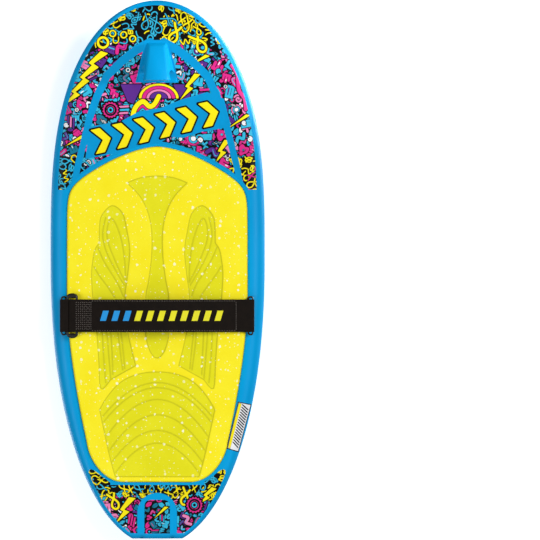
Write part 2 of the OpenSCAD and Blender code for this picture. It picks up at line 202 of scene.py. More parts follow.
def add_closed(name, points, faces):
    """A closed mesh in the scene, with its faces turned outwards."""
    mesh = new_mesh(name, points, faces)
    body = bmesh.new()
    body.from_mesh(mesh)
    bmesh.ops.recalc_face_normals(body, faces=body.faces)
    body.to_mesh(mesh)
    body.free()
    return add_object(name, mesh)


def shade(piece, sharp=None):
    """Smooth shading, with edges over this many degrees kept sharp."""
    piece.data.shade_smooth()
    if sharp is not None:
        piece.data.set_sharp_from_angle(angle=math.radians(sharp))


def enlist(piece, body, node, look):
    """Sets a finished piece on the body it rides on, hides the CAD part it takes the place of and gives it
    its material.
    """
    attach(piece, body)
    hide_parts(node)
    paint(piece, look)


def make_piece(name, shape, body, node, look, sharp=None):
    """A finished piece from points and faces."""
    piece = add_closed(name, *shape)
    shade(piece, sharp)
    enlist(piece, body, node, look)
    return piece


def loft(rings, endless=False):
    """Points and faces of a skin over rings of points. An endless one runs back into its first ring."""
    rings = np.asarray(rings, float)
    count, size = rings.shape[:2]
    index = np.arange(count * size).reshape(count, size)
    here, ahead = (index, np.roll(index, -1, axis=0)) if endless else (index[:-1], index[1:])
    corners = [here, np.roll(here, -1, axis=1), np.roll(ahead, -1, axis=1), ahead]
    faces = np.stack(corners, -1).reshape(-1, 4).tolist()
    if not endless:
        faces += [index[0][::-1].tolist(), index[-1].tolist()]
    return rings.reshape(-1, 3), faces


def join(shapes):
    """Several shapes' points and faces as one."""
    points, faces = [], []
    for more, corners in shapes:
        faces += [[k + len(points) for k in face] for face in corners]
        points += more.tolist()
    return points, faces


def add_values(piece, name, values):
    """Stores one number at each point of a piece, for its material to read."""
    layer = piece.data.attributes.new(name, "FLOAT", "POINT")
    layer.data.foreach_set("value", np.asarray(values, np.float32))


def cut(piece, points, faces):
    """Cuts a closed shape out of a piece."""
    cutter = add_closed("cutter", points, faces)
    modifier = piece.modifiers.new("cut", "BOOLEAN")
    modifier.operation = "DIFFERENCE"
    modifier.solver = "MANIFOLD"
    modifier.object = cutter
    bpy.context.view_layer.update()
    graph = bpy.context.evaluated_depsgraph_get()
    made = bpy.data.meshes.new_from_object(piece.evaluated_get(graph))
    piece.modifiers.clear()
    piece.data = made
    bpy.data.objects.remove(cutter)


def spread(flat, inner, outer):
    """Places from -1 to 1, even over the flat and closing up towards the ends."""
    even = np.linspace(0, flat, inner + 1)
    closing = flat + (1 - flat) * np.sin(np.linspace(0, math.pi / 2, outer + 1)[1:])
    half = np.concatenate([even, closing])
    return np.concatenate([-half[:0:-1], half])


# ---- Materials ----


def srgb(red, green, blue):
    """A colour given as 0 to 255 on screen, as the shader wants it."""
    share = np.array([red, green, blue]) / 255
    linear = np.where(share <= 0.04045, share / 12.92, ((share + 0.055) / 1.055) ** 2.4)
    return (*linear.tolist(), 1.0)


def tone(tint, share=1.0):
    """A screen colour made darker or lighter by a share."""
    return srgb(*[min(255, share * c) for c in tint])


# Scale of Blender's wave texture for bands one unit apart.
WAVE_SCALE = 0.314


class Look:
    """A material on one Principled shader, with its texture nodes added by short calls."""

    def __init__(self, name, roughness=0.5, **sockets):
        self.material = bpy.data.materials.new(name)
        self.material.use_nodes = True
        self.tree = self.material.node_tree
        self.shader = self.tree.nodes["Principled BSDF"]
        self.shader.inputs["Roughness"].default_value = roughness
        for socket, value in sockets.items():
            self.shader.inputs[socket.replace("_", " ")].default_value = value
        self.place = self.node("ShaderNodeTexCoord").outputs["Object"]

    def node(self, kind, inputs=None, **settings):
        made = self.tree.nodes.new(kind)
        for key, value in settings.items():
            setattr(made, key, value)
        for key, value in (inputs or {}).items():
            if isinstance(value, bpy.types.NodeSocket):
                self.tree.links.new(value, made.inputs[key])
            else:
                made.inputs[key].default_value = value
        return made

    def vectors(self, operation, a, b):
        return self.node("ShaderNodeVectorMath", {0: a, 1: b}, operation=operation).outputs[0]

    def scaled(self, x, y, z):
        """Coordinates stretched by different amounts along each axis."""
        return self.vectors("MULTIPLY", self.place, (x, y, z))

    def waves(self, pitch, direction, source=None, **inputs):
        """Parallel threads this many millimetres apart."""
        inputs = {"Vector": source or self.place, "Scale": WAVE_SCALE / (pitch * MM), **inputs}
        return self.node("ShaderNodeTexWave", inputs, bands_direction=direction).outputs["Fac"]

    def noise(self, size, detail=3, source=None, rough=0.5):
        """Cloudy noise with blobs of about this size in millimetres."""
        inputs = {"Scale": 1 / (size * MM), "Detail": detail, "Roughness": rough}
        return self.node("ShaderNodeTexNoise", {"Vector": source or self.place, **inputs}).outputs["Fac"]

    def cells(self, size, source=None, **settings):
        """Cells this many millimetres across."""
        inputs = {"Vector": source or self.place, "Scale": 1 / (size * MM)}
        return self.node("ShaderNodeTexVoronoi", inputs, **settings).outputs

    def number(self, name):
        return self.node("ShaderNodeAttribute", attribute_name=name).outputs["Fac"]

    def math(self, operation, a, b=0.0):
        return self.node("ShaderNodeMath", {0: a, 1: b}, operation=operation).outputs[0]

    def ramp(self, value, low, high, start=0.0, end=1.0):
        """Maps value from low..high to start..end, and stops there."""
        inputs = {"Value": value, "From Min": low, "From Max": high, "To Min": start, "To Max": end}
        return self.node("ShaderNodeMapRange", inputs).outputs[0]

    def mix(self, share, a, b):
        """A colour from a at share 0 to b at share 1."""
        return self.node("ShaderNodeMix", {0: share, 6: a, 7: b}, data_type="RGBA").outputs[2]

    def clouds(self, size, low, high, a, b, detail=3):
        """Drifts from colour a to colour b in clouds of about this size in millimetres."""
        return self.mix(self.ramp(self.noise(size, detail), low, high), a, b)

    def colour(self, value):
        self.tree.links.new(value, self.shader.inputs["Base Color"])

    def roughness(self, value):
        self.tree.links.new(value, self.shader.inputs["Roughness"])

    def bump(self, height, depth):
        """Bumps of this depth in millimetres."""
        before = self.shader.inputs["Normal"].links
        made = self.node("ShaderNodeBump", {"Height": height, "Distance": depth * MM, "Strength": 1.0})
        if before:
            self.tree.links.new(before[0].from_socket, made.inputs["Normal"])
        self.tree.links.new(made.outputs[0], self.shader.inputs["Normal"])


def paint(piece, look):
    piece.data.materials.clear()
    piece.data.materials.append(look.material)


BLUE = (0, 151, 212)
SKIN_BLUES = (0, 154, 217), (0, 160, 224)
BLACK = (5, 5, 7)


def moulded_look():
    """Rotationally moulded polyethylene: satin, faintly orange-peeled, with fine scuffs."""
    look = Look("moulded_skin", roughness=0.42, Specular_IOR_Level=0.1)
    look.colour(look.clouds(160, 0.35, 0.65, *[srgb(*blue) for blue in SKIN_BLUES], detail=2))
    scuffs = look.noise(30, detail=4, source=look.scaled(6, 0.5, 3), rough=0.7)
    look.roughness(look.ramp(scuffs, 0.42, 0.7, 0.34, 0.5))
    look.bump(look.noise(4.5, detail=2), 0.05)
    return look


# Flecks cast into the pad: how far apart, the largest size and the share of places that hold one.
FLECKS = (22, 3.6, 0.8), (11, 1.5, 0.6)


def foam_look():
    """Yellow EVA foam with pale cast flecks, painted darker inside its pressed wells as painted shade."""
    look = Look("pad_foam", roughness=0.72, Specular_IOR_Level=0.22)
    clouds = look.ramp(look.noise(55), 0.3, 0.7)
    plain = look.mix(clouds, srgb(252, 235, 20), srgb(255, 242, 40))
    # Painted shade: the foam inside the pressed wells is painted darker.
    pressed = look.mix(clouds, srgb(229, 224, 14), srgb(236, 231, 26))
    well = look.number("well_distance")
    base = look.mix(look.ramp(well, 3, -3), plain, pressed)
    # Painted shade: a darker rim round the wells and a dark line in each groove, by distance in millimetres.
    rim_shade = look.ramp(look.math("ABSOLUTE", well), 0.3, 2.0, 0.6, 0)
    groove = look.ramp(look.number("groove_distance"), 0.8, 2.8, 0.5, 0)
    base = look.mix(look.math("MAXIMUM", rim_shade, groove), base, srgb(176, 172, 16))
    wobble = look.node("ShaderNodeTexNoise", {"Vector": look.place, "Scale": 160.0, "Detail": 2.0})
    shift = look.vectors("MULTIPLY", wobble.outputs["Color"], (6 * MM, 6 * MM, 0))
    place = look.vectors("ADD", look.place, shift)
    for pitch, size, share in FLECKS:
        cells = look.cells(pitch, place, voronoi_dimensions="2D")
        chance = look.node("ShaderNodeSeparateColor", {0: cells["Color"]}).outputs
        reach = look.ramp(chance[0], 1 - share, 1, 0.0, size / pitch)
        fleck = look.ramp(look.math("SUBTRACT", reach, cells["Distance"]), 0.0, 0.03)
        shown = look.math("MULTIPLY", fleck, look.ramp(chance[1], 0, 1, 0.45, 1.0))
        base = look.mix(shown, base, srgb(255, 253, 214))
    look.colour(base)
    look.bump(look.noise(1.1, detail=2), 0.06)
    look.bump(look.noise(6, detail=2), 0.12)
    return look


INKS = {
    "yellow": (254, 236, 22),
    "cyan": (52, 186, 224),
    "magenta": (222, 44, 138),
    "pink": (236, 130, 184),
    "purple": (92, 44, 140),
    "teal": (22, 120, 150),
    "white": (244, 246, 250),
    "blue": BLUE,
}


def printed_look(name, ground=BLACK):
    """A printed film: inks with crisp edges on a dark ground, under a satin varnish."""
    look = Look(name, roughness=0.44, Specular_IOR_Level=0.12)
    grain = look.ramp(look.noise(30), 0.3, 0.7)
    colour = look.mix(grain, srgb(*ground), srgb(*[g + 6 for g in ground]))
    for ink, tint in INKS.items():
        shown = look.ramp(look.number(ink), 0.25, -0.25)
        colour = look.mix(shown, colour, look.mix(grain, tone(tint, 0.96), tone(tint)))
    look.colour(colour)
    look.roughness(look.ramp(look.noise(9, detail=4), 0.3, 0.7, 0.36, 0.46))
    look.bump(look.noise(4.5, detail=2), 0.05)
    return look


def webbing_look(name, tint, rib=2.2):
    """Webbing: ribs along it, painted lighter on their crests and darker between them as painted light and
    shade, a finer weave across them and a faint sheen.
    """
    look = Look(name, roughness=0.75, Specular_IOR_Level=0.1, Sheen_Weight=0.02, Sheen_Roughness=0.5)
    ribs = look.waves(rib, "Y", Distortion=0.6, Detail=1.0)
    weft = look.waves(1.5, "X", Distortion=0.4, Detail=1.0)
    # Painted highlight and shade: the rib crests are painted lighter and the hollows between them darker.
    painted_rib_light = look.ramp(look.math("MULTIPLY", ribs, look.noise(14, detail=4)), 0.1, 0.6)
    look.colour(look.mix(painted_rib_light, tone(tint, 0.72), tone(tint, 1.35)))
    look.bump(look.math("ADD", look.math("MULTIPLY", ribs, 0.6), look.math("MULTIPLY", weft, 0.4)), 0.35)
    return look


def pile_look(name, tint, size):
    """Hook-and-loop tape: a close field of tiny bristles."""
    look = Look(name, roughness=0.9, Specular_IOR_Level=0.15, Sheen_Weight=0.25)
    cells = look.cells(size)["Distance"]
    look.colour(look.mix(look.ramp(cells, 0.1, 0.6), tone(tint, 1.6), tone(tint)))
    look.bump(cells, 0.4)
    return look


def metal_look(name, tint, roughness):
    look = Look(name, roughness=roughness, Metallic=1.0)
    look.colour(look.clouds(7, 0.35, 0.7, tone(tint), tone(tint, 0.86), detail=4))
    look.roughness(look.ramp(look.noise(2.5, detail=3), 0.3, 0.7, roughness - 0.06, roughness + 0.1))
    look.bump(look.noise(0.9, detail=2), 0.01)
    return look


def plastic_look(name, tint, roughness=0.45, grain=0.9, depth=0.03, vary=1.3):
    """Moulded plastic or rubber with a fine spark-eroded texture."""
    look = Look(name, roughness=roughness, Specular_IOR_Level=0.4)
    look.colour(look.clouds(18, 0.3, 0.7, tone(tint), tone(tint, vary)))
    look.roughness(look.ramp(look.noise(5, detail=3), 0.3, 0.7, roughness - 0.06, roughness + 0.08))
    look.bump(look.noise(grain, detail=2), depth)
    return look


def thread_look(name, tint):
    look = Look(name, roughness=0.8, Sheen_Weight=0.3)
    twist = look.waves(0.5, "DIAGONAL", look.scaled(1, 1.6, 1))
    # Painted light and shade: the thread is painted lighter on the crests of its twist and darker in the
    # hollows between them.
    look.colour(look.mix(twist, tone(tint, 0.75), tone(tint, 1.2)))
    look.bump(twist, 0.12)
    return look


# ---- Skin of the board ----

# Channels of the underside's right half: (y, x) at one end, halfway and at the other, then the width of the
# soft side and the depth.
HULL_LINES = [
    (((562, 127), (405, 162), (150, 179)), 9, 2.2),
    (((480, 179), (290, 208), (104, 210)), 9, 2.2),
    (((145, 69), (-57, 94), (-266, 65)), 19, 3.4),
    (((-255, 196), (-403, 171), (-536, 135)), 5, 1.6),
    (((-322, 160), (-450, 132), (-592, 92)), 5, 1.6),
]
GRIP_Y, GRIP_R, GRIP_DEPTH = -591, 35.5, 3.8
RIB_PITCH, RIB_HALF, RIB_COUNT, RIB_HEIGHT = 9, 17, 6, 1.9


def hull_relief(x, y):
    """How far the channels under the board reach up into it."""
    deep = np.zeros(np.shape(x))
    for ends, soft, depth in HULL_LINES:
        (y0, _), _, (y1, _) = ends
        centre = np.polyval(np.polyfit(*zip(*ends), 2), y)
        along = np.clip((y - y0) / (y1 - y0), 0, 1)
        swell = np.sin(math.pi * along) ** 0.7
        off = abs(x) - centre
        sharp_side = smoothstep(1 - off / 2.4)
        soft_side = smoothstep(1 + off / (2 + soft * swell))
        deep = np.maximum(deep, depth * swell * np.where(off > 0, sharp_side, soft_side))
    return deep


def grip_relief(x, y):
    """The arched channel around the finger grip and the ribs inside it."""
    off = np.where(y > GRIP_Y, abs(np.hypot(x, y - GRIP_Y) - GRIP_R), abs(abs(x) - GRIP_R))
    deep = GRIP_DEPTH * np.sqrt(1 - np.clip(off / 5, 0, 1) ** 2)
    for i in range(RIB_COUNT):
        arch = GRIP_Y + 12 - RIB_PITCH * i + 5 * (1 - (x / RIB_HALF) ** 2)
        off = np.hypot(y - arch, 1.4 * np.clip(abs(x) - RIB_HALF + 2, 0, None))
        deep = deep - RIB_HEIGHT * np.sqrt(1 - np.clip(off / 3, 0, 1) ** 2)
    return deep


def board_stations():
    """Places along the board, close together at its rounded ends and over the finger grip."""
    angle = np.linspace(0.1, math.pi / 2, 10)
    rounding = HALF_L - END_ROUND + END_ROUND * np.cos(angle)
    rounding[0] = HALF_L - TIP
    fine, grip_front = 1.8, -545
    grip = np.arange(-(HALF_L - END_ROUND) + fine, grip_front, fine)
    plain = np.arange(grip_front, HALF_L - END_ROUND - 4, 6)
    return np.concatenate([-rounding, grip, plain, rounding[::-1]])


def board_skin(look):
    """The whole skin with the channels and the finger grip of its underside, and the pad's pocket cut out."""
    y = board_stations()[:, None]
    wide, rail, end = half_width(y), rail_z(y), end_roll(y)
    over = spread(DECK_FLAT, 12, 14)[None, :]
    under = spread(0.9, 96, 12)[None, 1:-1][:, ::-1]
    deck = rail + (deck_z(y) - rail) * end * deck_roll(abs(over))
    hull = rail - (rail - hull_z(y)) * end * hull_roll(abs(under))
    carved = hull_relief(under * wide, y) + grip_relief(under * wide, y)
    hull = hull + np.minimum(carved, 0.5 * (rail - hull))
    x = np.concatenate([over * wide, under * wide], axis=1)
    z = np.concatenate([deck, hull], axis=1)
    notch = np.sqrt(1 - np.clip((abs(x) - GRIP_R) / 5, -1, 1) ** 2) * smoothstep((-y - HALF_L + 14) / 14)
    rings = np.stack([x, y + 3 * notch, z], -1)
    piece = add_closed("board_skin", *loft(rings))
    piece.data.shade_smooth()
    cut(piece, *pocket_shape())
    piece.data.set_sharp_from_angle(angle=math.radians(50))
    enlist(piece, "board", "shell", look)


# ---- Tow hook ----

# Half widths of the hook at its rear and at its front, where it meets the deck and on top.
HOOK_FOOT, HOOK_CREST = (48.5, 25), (26, 17)
HOOK_SLOPE, HOOK_BEVEL, SLOT_R = 20, 3, 13


def tow_hook(look):
    """A raised scoop with bevelled sides. The tow handle hooks in from behind."""
    rear, front, top = HOOK_LOW[1], HOOK_HIGH[1], HOOK_HIGH[2]
    body = bmesh.new()
    for side in (-1, 1):
        for corner in (
            (side * HOOK_FOOT[0], rear, deck_z(rear) - 3),
            (side * HOOK_FOOT[1], front, deck_z(front) - 3),
            (side * HOOK_CREST[0], rear + 2, top),
            (side * HOOK_CREST[1], front - 10, top - HOOK_SLOPE),
        ):
            body.verts.new(np.array(corner) * MM)
    bmesh.ops.convex_hull(body, input=body.verts)
    bmesh.ops.dissolve_limit(body, angle_limit=0.02, verts=body.verts, edges=body.edges)
    raised = [e for e in body.edges if max(v.co.z for v in e.verts) > (deck_z(front) + 1) * MM]
    bmesh.ops.bevel(body, geom=raised, offset=HOOK_BEVEL * MM, segments=4, profile=0.5, affect="EDGES")
    bmesh.ops.recalc_face_normals(body, faces=body.faces)
    mesh = bpy.data.meshes.new("tow_hook_moulding")
    body.to_mesh(mesh)
    body.free()
    piece = add_object("tow_hook_moulding", mesh)
    slot_y = rear + 14
    slot_z = deck_z(slot_y) + 0.3 + SLOT_R
    open_end = slot_y - 60
    section = [(y, z) for y, z in arc(slot_y, slot_z, SLOT_R, 90, -90, 24)]
    section = [(open_end, slot_z + SLOT_R), *section, (open_end, slot_z - SLOT_R)]
    cut(piece, *loft([[(x, y, z) for y, z in section] for x in (-70, 70)]))
    shade(piece, 35)
    enlist(piece, "board", "tow_hook", look)


# ---- Knee pad ----

PAD_SIDE, PAD_CORNER, PAD_CORNER_X = -71, -409, 80
PAD_TAPER, PAD_TAPER_RUN, PAD_TAPER_POWER = 8, 111, 1.6
PAD_ARCH, PAD_ARCH_RUN, PAD_ARCH_POWER, PAD_SHOULDER = 187, 80, 0.61, 12
POCKET_DEPTH, PAD_PROUD = 8, 7
NOTCH_DEEP, NOTCH_HALF = 22, 31

WELL_DEPTH, WELL_SLOPE, GROOVE_DEPTH, GROOVE_HALF, EDGE_ROUND = 2.6, 6, 1.2, 3.4, 5.5
# How far the leaf grooves stay inside their well, and the arches inside the shin well.
LEAF_INSET, SHIN_INSET = 3, 4

# Pressed-in shapes of the right half of the pad, which the left half mirrors. A point given twice is a
# sharp corner.
MIDDLE_WELL = [
    (-30, 222), (0, 222), (38, 218), (71, 206), (71, 206), (42, 176), (23, 140), (13, 94), (13, 35),
    (20, -24), (27, -64), (28, -144), (20, -184), (10, -202), (0, -208), (-30, -208),
]
LEAF_LEFT = [(51, -226), (70, -144), (76, -64), (70, -12), (65, 46), (72, 94), (82, 134), (107, 152)]
LEAF_RIGHT = [
    (107, 152), (131, 129), (136, 104), (137, 64), (137, 64), (147, 48), (152, 23), (155, -12), (151, -78),
    (143, -144), (138, -212),
]
LEAF_WELL = LEAF_LEFT + LEAF_RIGHT[1:] + [(133, -280), (110, -259)]
SHIN_WELL = [
    (-40, -246), (0, -241), (35, -244), (67, -254), (92, -270), (112, -292), (126, -312), (136, -330),
    (136, -330), (126, -377), (112, -440), (99, -488), (99, -488), (-40, -488),
]
LEAF_GROOVES = [
    [(75, -30), (76, 4), (79, 37), (85, 71), (96, 104), (108, 122), (116, 110), (119, 87), (116, 64),
     (106, 37), (92, 4), (75, -30)],
    [(122, 124), (128, 97), (128, 71), (118, 37), (98, -2), (78, -36)],
    [(141, 55), (128, 24), (108, -9), (92, -35), (81, -62)],
    [(150, 8), (138, -12), (118, -39), (101, -65)],
    [(119, -144), (115, -200), (110, -259)],
    [(110, -144), (107, -195), (105, -247)],
    [(93, -144), (88, -190), (82, -236)],
    [(86, -144), (81, -190), (77, -233)],
    [(130, -144), (127, -205), (122, -266)],
]
# Arches of the shin well: where along the pad the top of each is, and the (x, y) of its foot.
SHIN_ARCHES = [
    (-266, (128, -345)), (-278, (126, -358)), (-306, (119, -392)), (-342, (114, -428)),
    (-379, (110, -458)), (-409, (104, -487)),
]


def pad_edge(y):
    return PAD_HALF - PAD_TAPER * np.clip((PAD_SIDE - y) / PAD_TAPER_RUN, 0, None) ** PAD_TAPER_POWER


def pad_width(y):
    """Half the pad's width: an arch in front, slightly tapering sides and a rounded heel."""
    y = np.asarray(y, float)
    behind_tip = np.clip((PAD_FRONT - y) / PAD_ARCH_RUN, 1e-4, None)
    front = (PAD_ARCH * behind_tip**PAD_ARCH_POWER) ** -PAD_SHOULDER
    arch = (front + pad_edge(y) ** -PAD_SHOULDER) ** (-1 / PAD_SHOULDER)
    corner = pad_edge(PAD_CORNER) - PAD_CORNER_X
    behind = np.clip((PAD_CORNER - y) / (PAD_CORNER - PAD_REAR), 0, 1)
    heel = PAD_CORNER_X + corner * np.sqrt(1 - behind**1.5)
    notch = smoothstep((NOTCH_HALF + 5 - abs(y - STRAP_Y)) / 5)
    return np.where(y < PAD_CORNER, heel, arch - NOTCH_DEEP * notch)


def pad_stations(front, rear, pitch):
    """Places along the pad, closer together at its front and its heel."""
    front_run, heel_run = 30, 8
    nose = front - front_run * np.linspace(0.06, 1, 16) ** 2
    heel = rear + heel_run * (1 - np.cos(np.linspace(0, math.pi / 2, 7)))
    middle = np.arange(front - front_run - pitch, rear + heel_run, -pitch)
    return np.concatenate([nose, middle, heel[::-1]])


def pocket_shape():
    """What is cut out of the deck for the pad, with a gap of under a millimetre around it."""
    gap = 0.8
    y = pad_stations(PAD_FRONT + gap, PAD_REAR - gap, 8)
    wide = pad_width(np.clip(y, PAD_REAR, PAD_FRONT - 0.1)) + gap
    low = deck_z(y) - POCKET_DEPTH
    above_board = 200
    high = np.full(len(y), above_board)
    sides = [(-wide, low), (wide, low), (wide, high), (-wide, high)]
    return loft(np.stack([np.stack([x, y, z], -1) for x, z in sides], 1))


def pad_relief(x, y):
    """Distance to the edge of the pressed wells, negative inside them, and distance to the grooves."""
    x = abs(x)
    leaf, middle, shin = (
        area_distance(x, y, curve_through(well, 4)) for well in (LEAF_WELL, MIDDLE_WELL, SHIN_WELL)
    )
    wells = np.minimum(np.minimum(leaf, middle), shin)
    lines = np.full(np.shape(x), FAR)
    for path in LEAF_GROOVES:
        lines = np.minimum(lines, np.maximum(line_distance(x, y, curve_through(path)), leaf + LEAF_INSET))
    for top, (foot_x, foot_y) in SHIN_ARCHES:
        arch = [(t * foot_x, top - (top - foot_y) * t * t) for t in np.linspace(-0.1, 1, 12)]
        lines = np.minimum(lines, np.maximum(line_distance(x, y, arch), shin + SHIN_INSET))
    return wells, lines


def knee_pad(look):
    """The moulded foam pad: rounded edges, pressed wells and grooves on top, flat beneath."""
    front = PAD_FRONT - 0.1
    outline_y = pad_stations(front, PAD_REAR, 8)
    right = list(zip(pad_width(outline_y), outline_y))
    outline = right + [(-a, b) for a, b in reversed(right)]
    y = pad_stations(front, PAD_REAR, 2.2)[:, None]
    wide = pad_width(y)
    x = spread(0.95, 96, 9)[None, :] * wide
    y_there = np.broadcast_to(y, x.shape)
    inward = np.clip(-area_distance(x, y_there, outline), 0, None)
    wells, lines = pad_relief(x, y_there)
    pressed = smoothstep(0.5 - wells / WELL_SLOPE)
    groove = smoothstep(1 - lines / GROOVE_HALF)
    edge = np.sqrt(1 - (1 - np.clip(inward / EDGE_ROUND, 0, 1)) ** 2)
    top = deck_z(y) + PAD_PROUD * edge - (WELL_DEPTH * pressed + GROOVE_DEPTH * groove) * edge
    beneath = np.linspace(1, -1, 5)[None, :] * wide
    low = np.broadcast_to(deck_z(y) - POCKET_DEPTH + 0.1, beneath.shape)
    x, z = np.concatenate([x, beneath], 1), np.concatenate([top, low], 1)
    rings = np.stack([x, np.broadcast_to(y, x.shape), z], -1)
    piece = make_piece("knee_pad_foam", loft(rings), "board", "knee_pad", look, sharp=60)
    for name, values in (("well_distance", wells), ("groove_distance", lines)):
        add_values(piece, name, np.concatenate([values, np.full(low.shape, FAR)], 1).ravel())


# ---- Printed art ----


class Print:
    """Ink layers of a printed film. Each holds the distance to its shapes, negative where that ink shows."""

    def __init__(self, x, y):
        self.x, self.y = x, y
        self.inks = {ink: np.full(x.shape, FAR) for ink in INKS}

    def lay(self, ink, shape, at=(0, 0), reach=FAR, turn=0.0, outline=1.5):
        """Prints a shape over what is there, with a dark line around it. The shape takes its own x and y."""
        near = (abs(self.x - at[0]) < reach) & (abs(self.y - at[1]) < reach)
        if not near.any():
            return
        dx, dy = self.x[near] - at[0], self.y[near] - at[1]
        c, s = math.cos(turn), math.sin(turn)
        d = shape(c * dx + s * dy, c * dy - s * dx)
        for values in self.inks.values():
            values[near] = np.maximum(values[near], outline - d)
        if ink:
            self.inks[ink][near] = np.minimum(self.inks[ink][near], d)


def stroke(path, radius, smooth=True):
    path = curve_through(path, 5) if smooth else path
    return lambda x, y: line_distance(x, y, path) - radius


def area(corners):
    return lambda x, y: area_distance(x, y, corners)


def disc(radius):
    return lambda x, y: np.hypot(x, y) - radius


def hoop(radius, width):
    return lambda x, y: abs(np.hypot(x, y) - radius) - width / 2


def bolt(length, width, strokes):
    """A barbed lightning shape along +x that ends in a point."""
    pitch = length / strokes
    outer, inner = [], []
    for i in range(strokes):
        size = width * (1 - 0.3 * i / strokes)
        outer += [(pitch * i, 0.5 * size), (pitch * (i + 1), -0.12 * size)]
        inner += [(pitch * (i + 0.12), -0.16 * size), (pitch * (i + 1.12), -0.5 * size)]
    tip = (1.04 * length, -0.5 * size)
    return area(outer[:-1] + [tip] + inner[:-1][::-1])


def curly(size, loops, radius):
    """A looping hand-drawn line along x."""
    count = 12 * loops
    path = []
    for i in range(count + 1):
        angle = 2 * math.pi * loops * i / count
        swell = 1 + 0.25 * math.sin(1.7 * angle + loops)
        path.append((0.14 * angle - 0.44 * loops + 0.55 * math.sin(angle), -swell * math.cos(angle)))
    return stroke(grown(path, size), radius, smooth=False)


def grown(path, size):
    return [(size * x, size * y) for x, y in path]


# Shapes of unit size: a teardrop loop whose ends cross and run on, a teardrop and a spiral.
LOOPED_TAIL = [
    (-0.75, 1.5), (-0.3, 0.95), (0.25, 0.35), (0.5, -0.25), (0.3, -0.8), (-0.15, -0.9), (-0.5, -0.5),
    (-0.42, 0.05), (0.05, 0.75), (0.3, 1.4),
]
DROP = [(0, 1)] + [(-0.62 * math.cos(a), 0.62 * math.sin(a) - 0.3) for a in np.linspace(-3.5, 0.36, 14)]
SPIRAL_TURNS, SPIRAL_STEPS = 1.4, 16
SPIRAL = [
    ((0.16 + 0.84 * t) * math.cos(2 * math.pi * SPIRAL_TURNS * t),
     (0.16 + 0.84 * t) * math.sin(2 * math.pi * SPIRAL_TURNS * t))
    for t in np.linspace(0, 1, SPIRAL_STEPS + 1)
]


def looped_tail(size, radius):
    return stroke(grown(LOOPED_TAIL, size), radius)


def star(size, points, inner=0.5):
    return [
        (size * (1 if i % 2 else inner) * math.cos(math.pi * i / points),
         size * (1 if i % 2 else inner) * math.sin(math.pi * i / points))
        for i in range(2 * points)
    ]


def leaf(radius, apart):
    """Where two discs overlap."""
    return lambda x, y: np.maximum(np.hypot(x, y - apart), np.hypot(x, y + apart)) - radius


def blob(size, phase):
    """A lumpy round shape."""

    def shape(x, y):
        angle = np.arctan2(y, x)
        edge = size * (0.78 + 0.15 * np.cos(3 * angle + phase) + 0.08 * np.cos(5 * angle - phase))
        return 0.85 * (np.hypot(x, y) - edge)

    return shape


def half_disc(radius, below=0.0):
    """A disc without what lies further than this below its centre."""
    return lambda x, y: np.maximum(np.hypot(x, y) - radius, -y - below)


def fingers(size, lengths):
    """Round-ended bars side by side on a common base."""

    def shape(x, y):
        best = line_distance(x, y, [(-0.7 * size, -0.6 * size), (0.7 * size, -0.6 * size)]) - 0.24 * size
        for i, length in enumerate(lengths):
            across = (i - 1) * 0.58 * size
            bar = line_distance(x, y, [(across, -0.6 * size), (across, length * size)]) - 0.23 * size
            best = np.minimum(best, bar)
        return best

    return shape


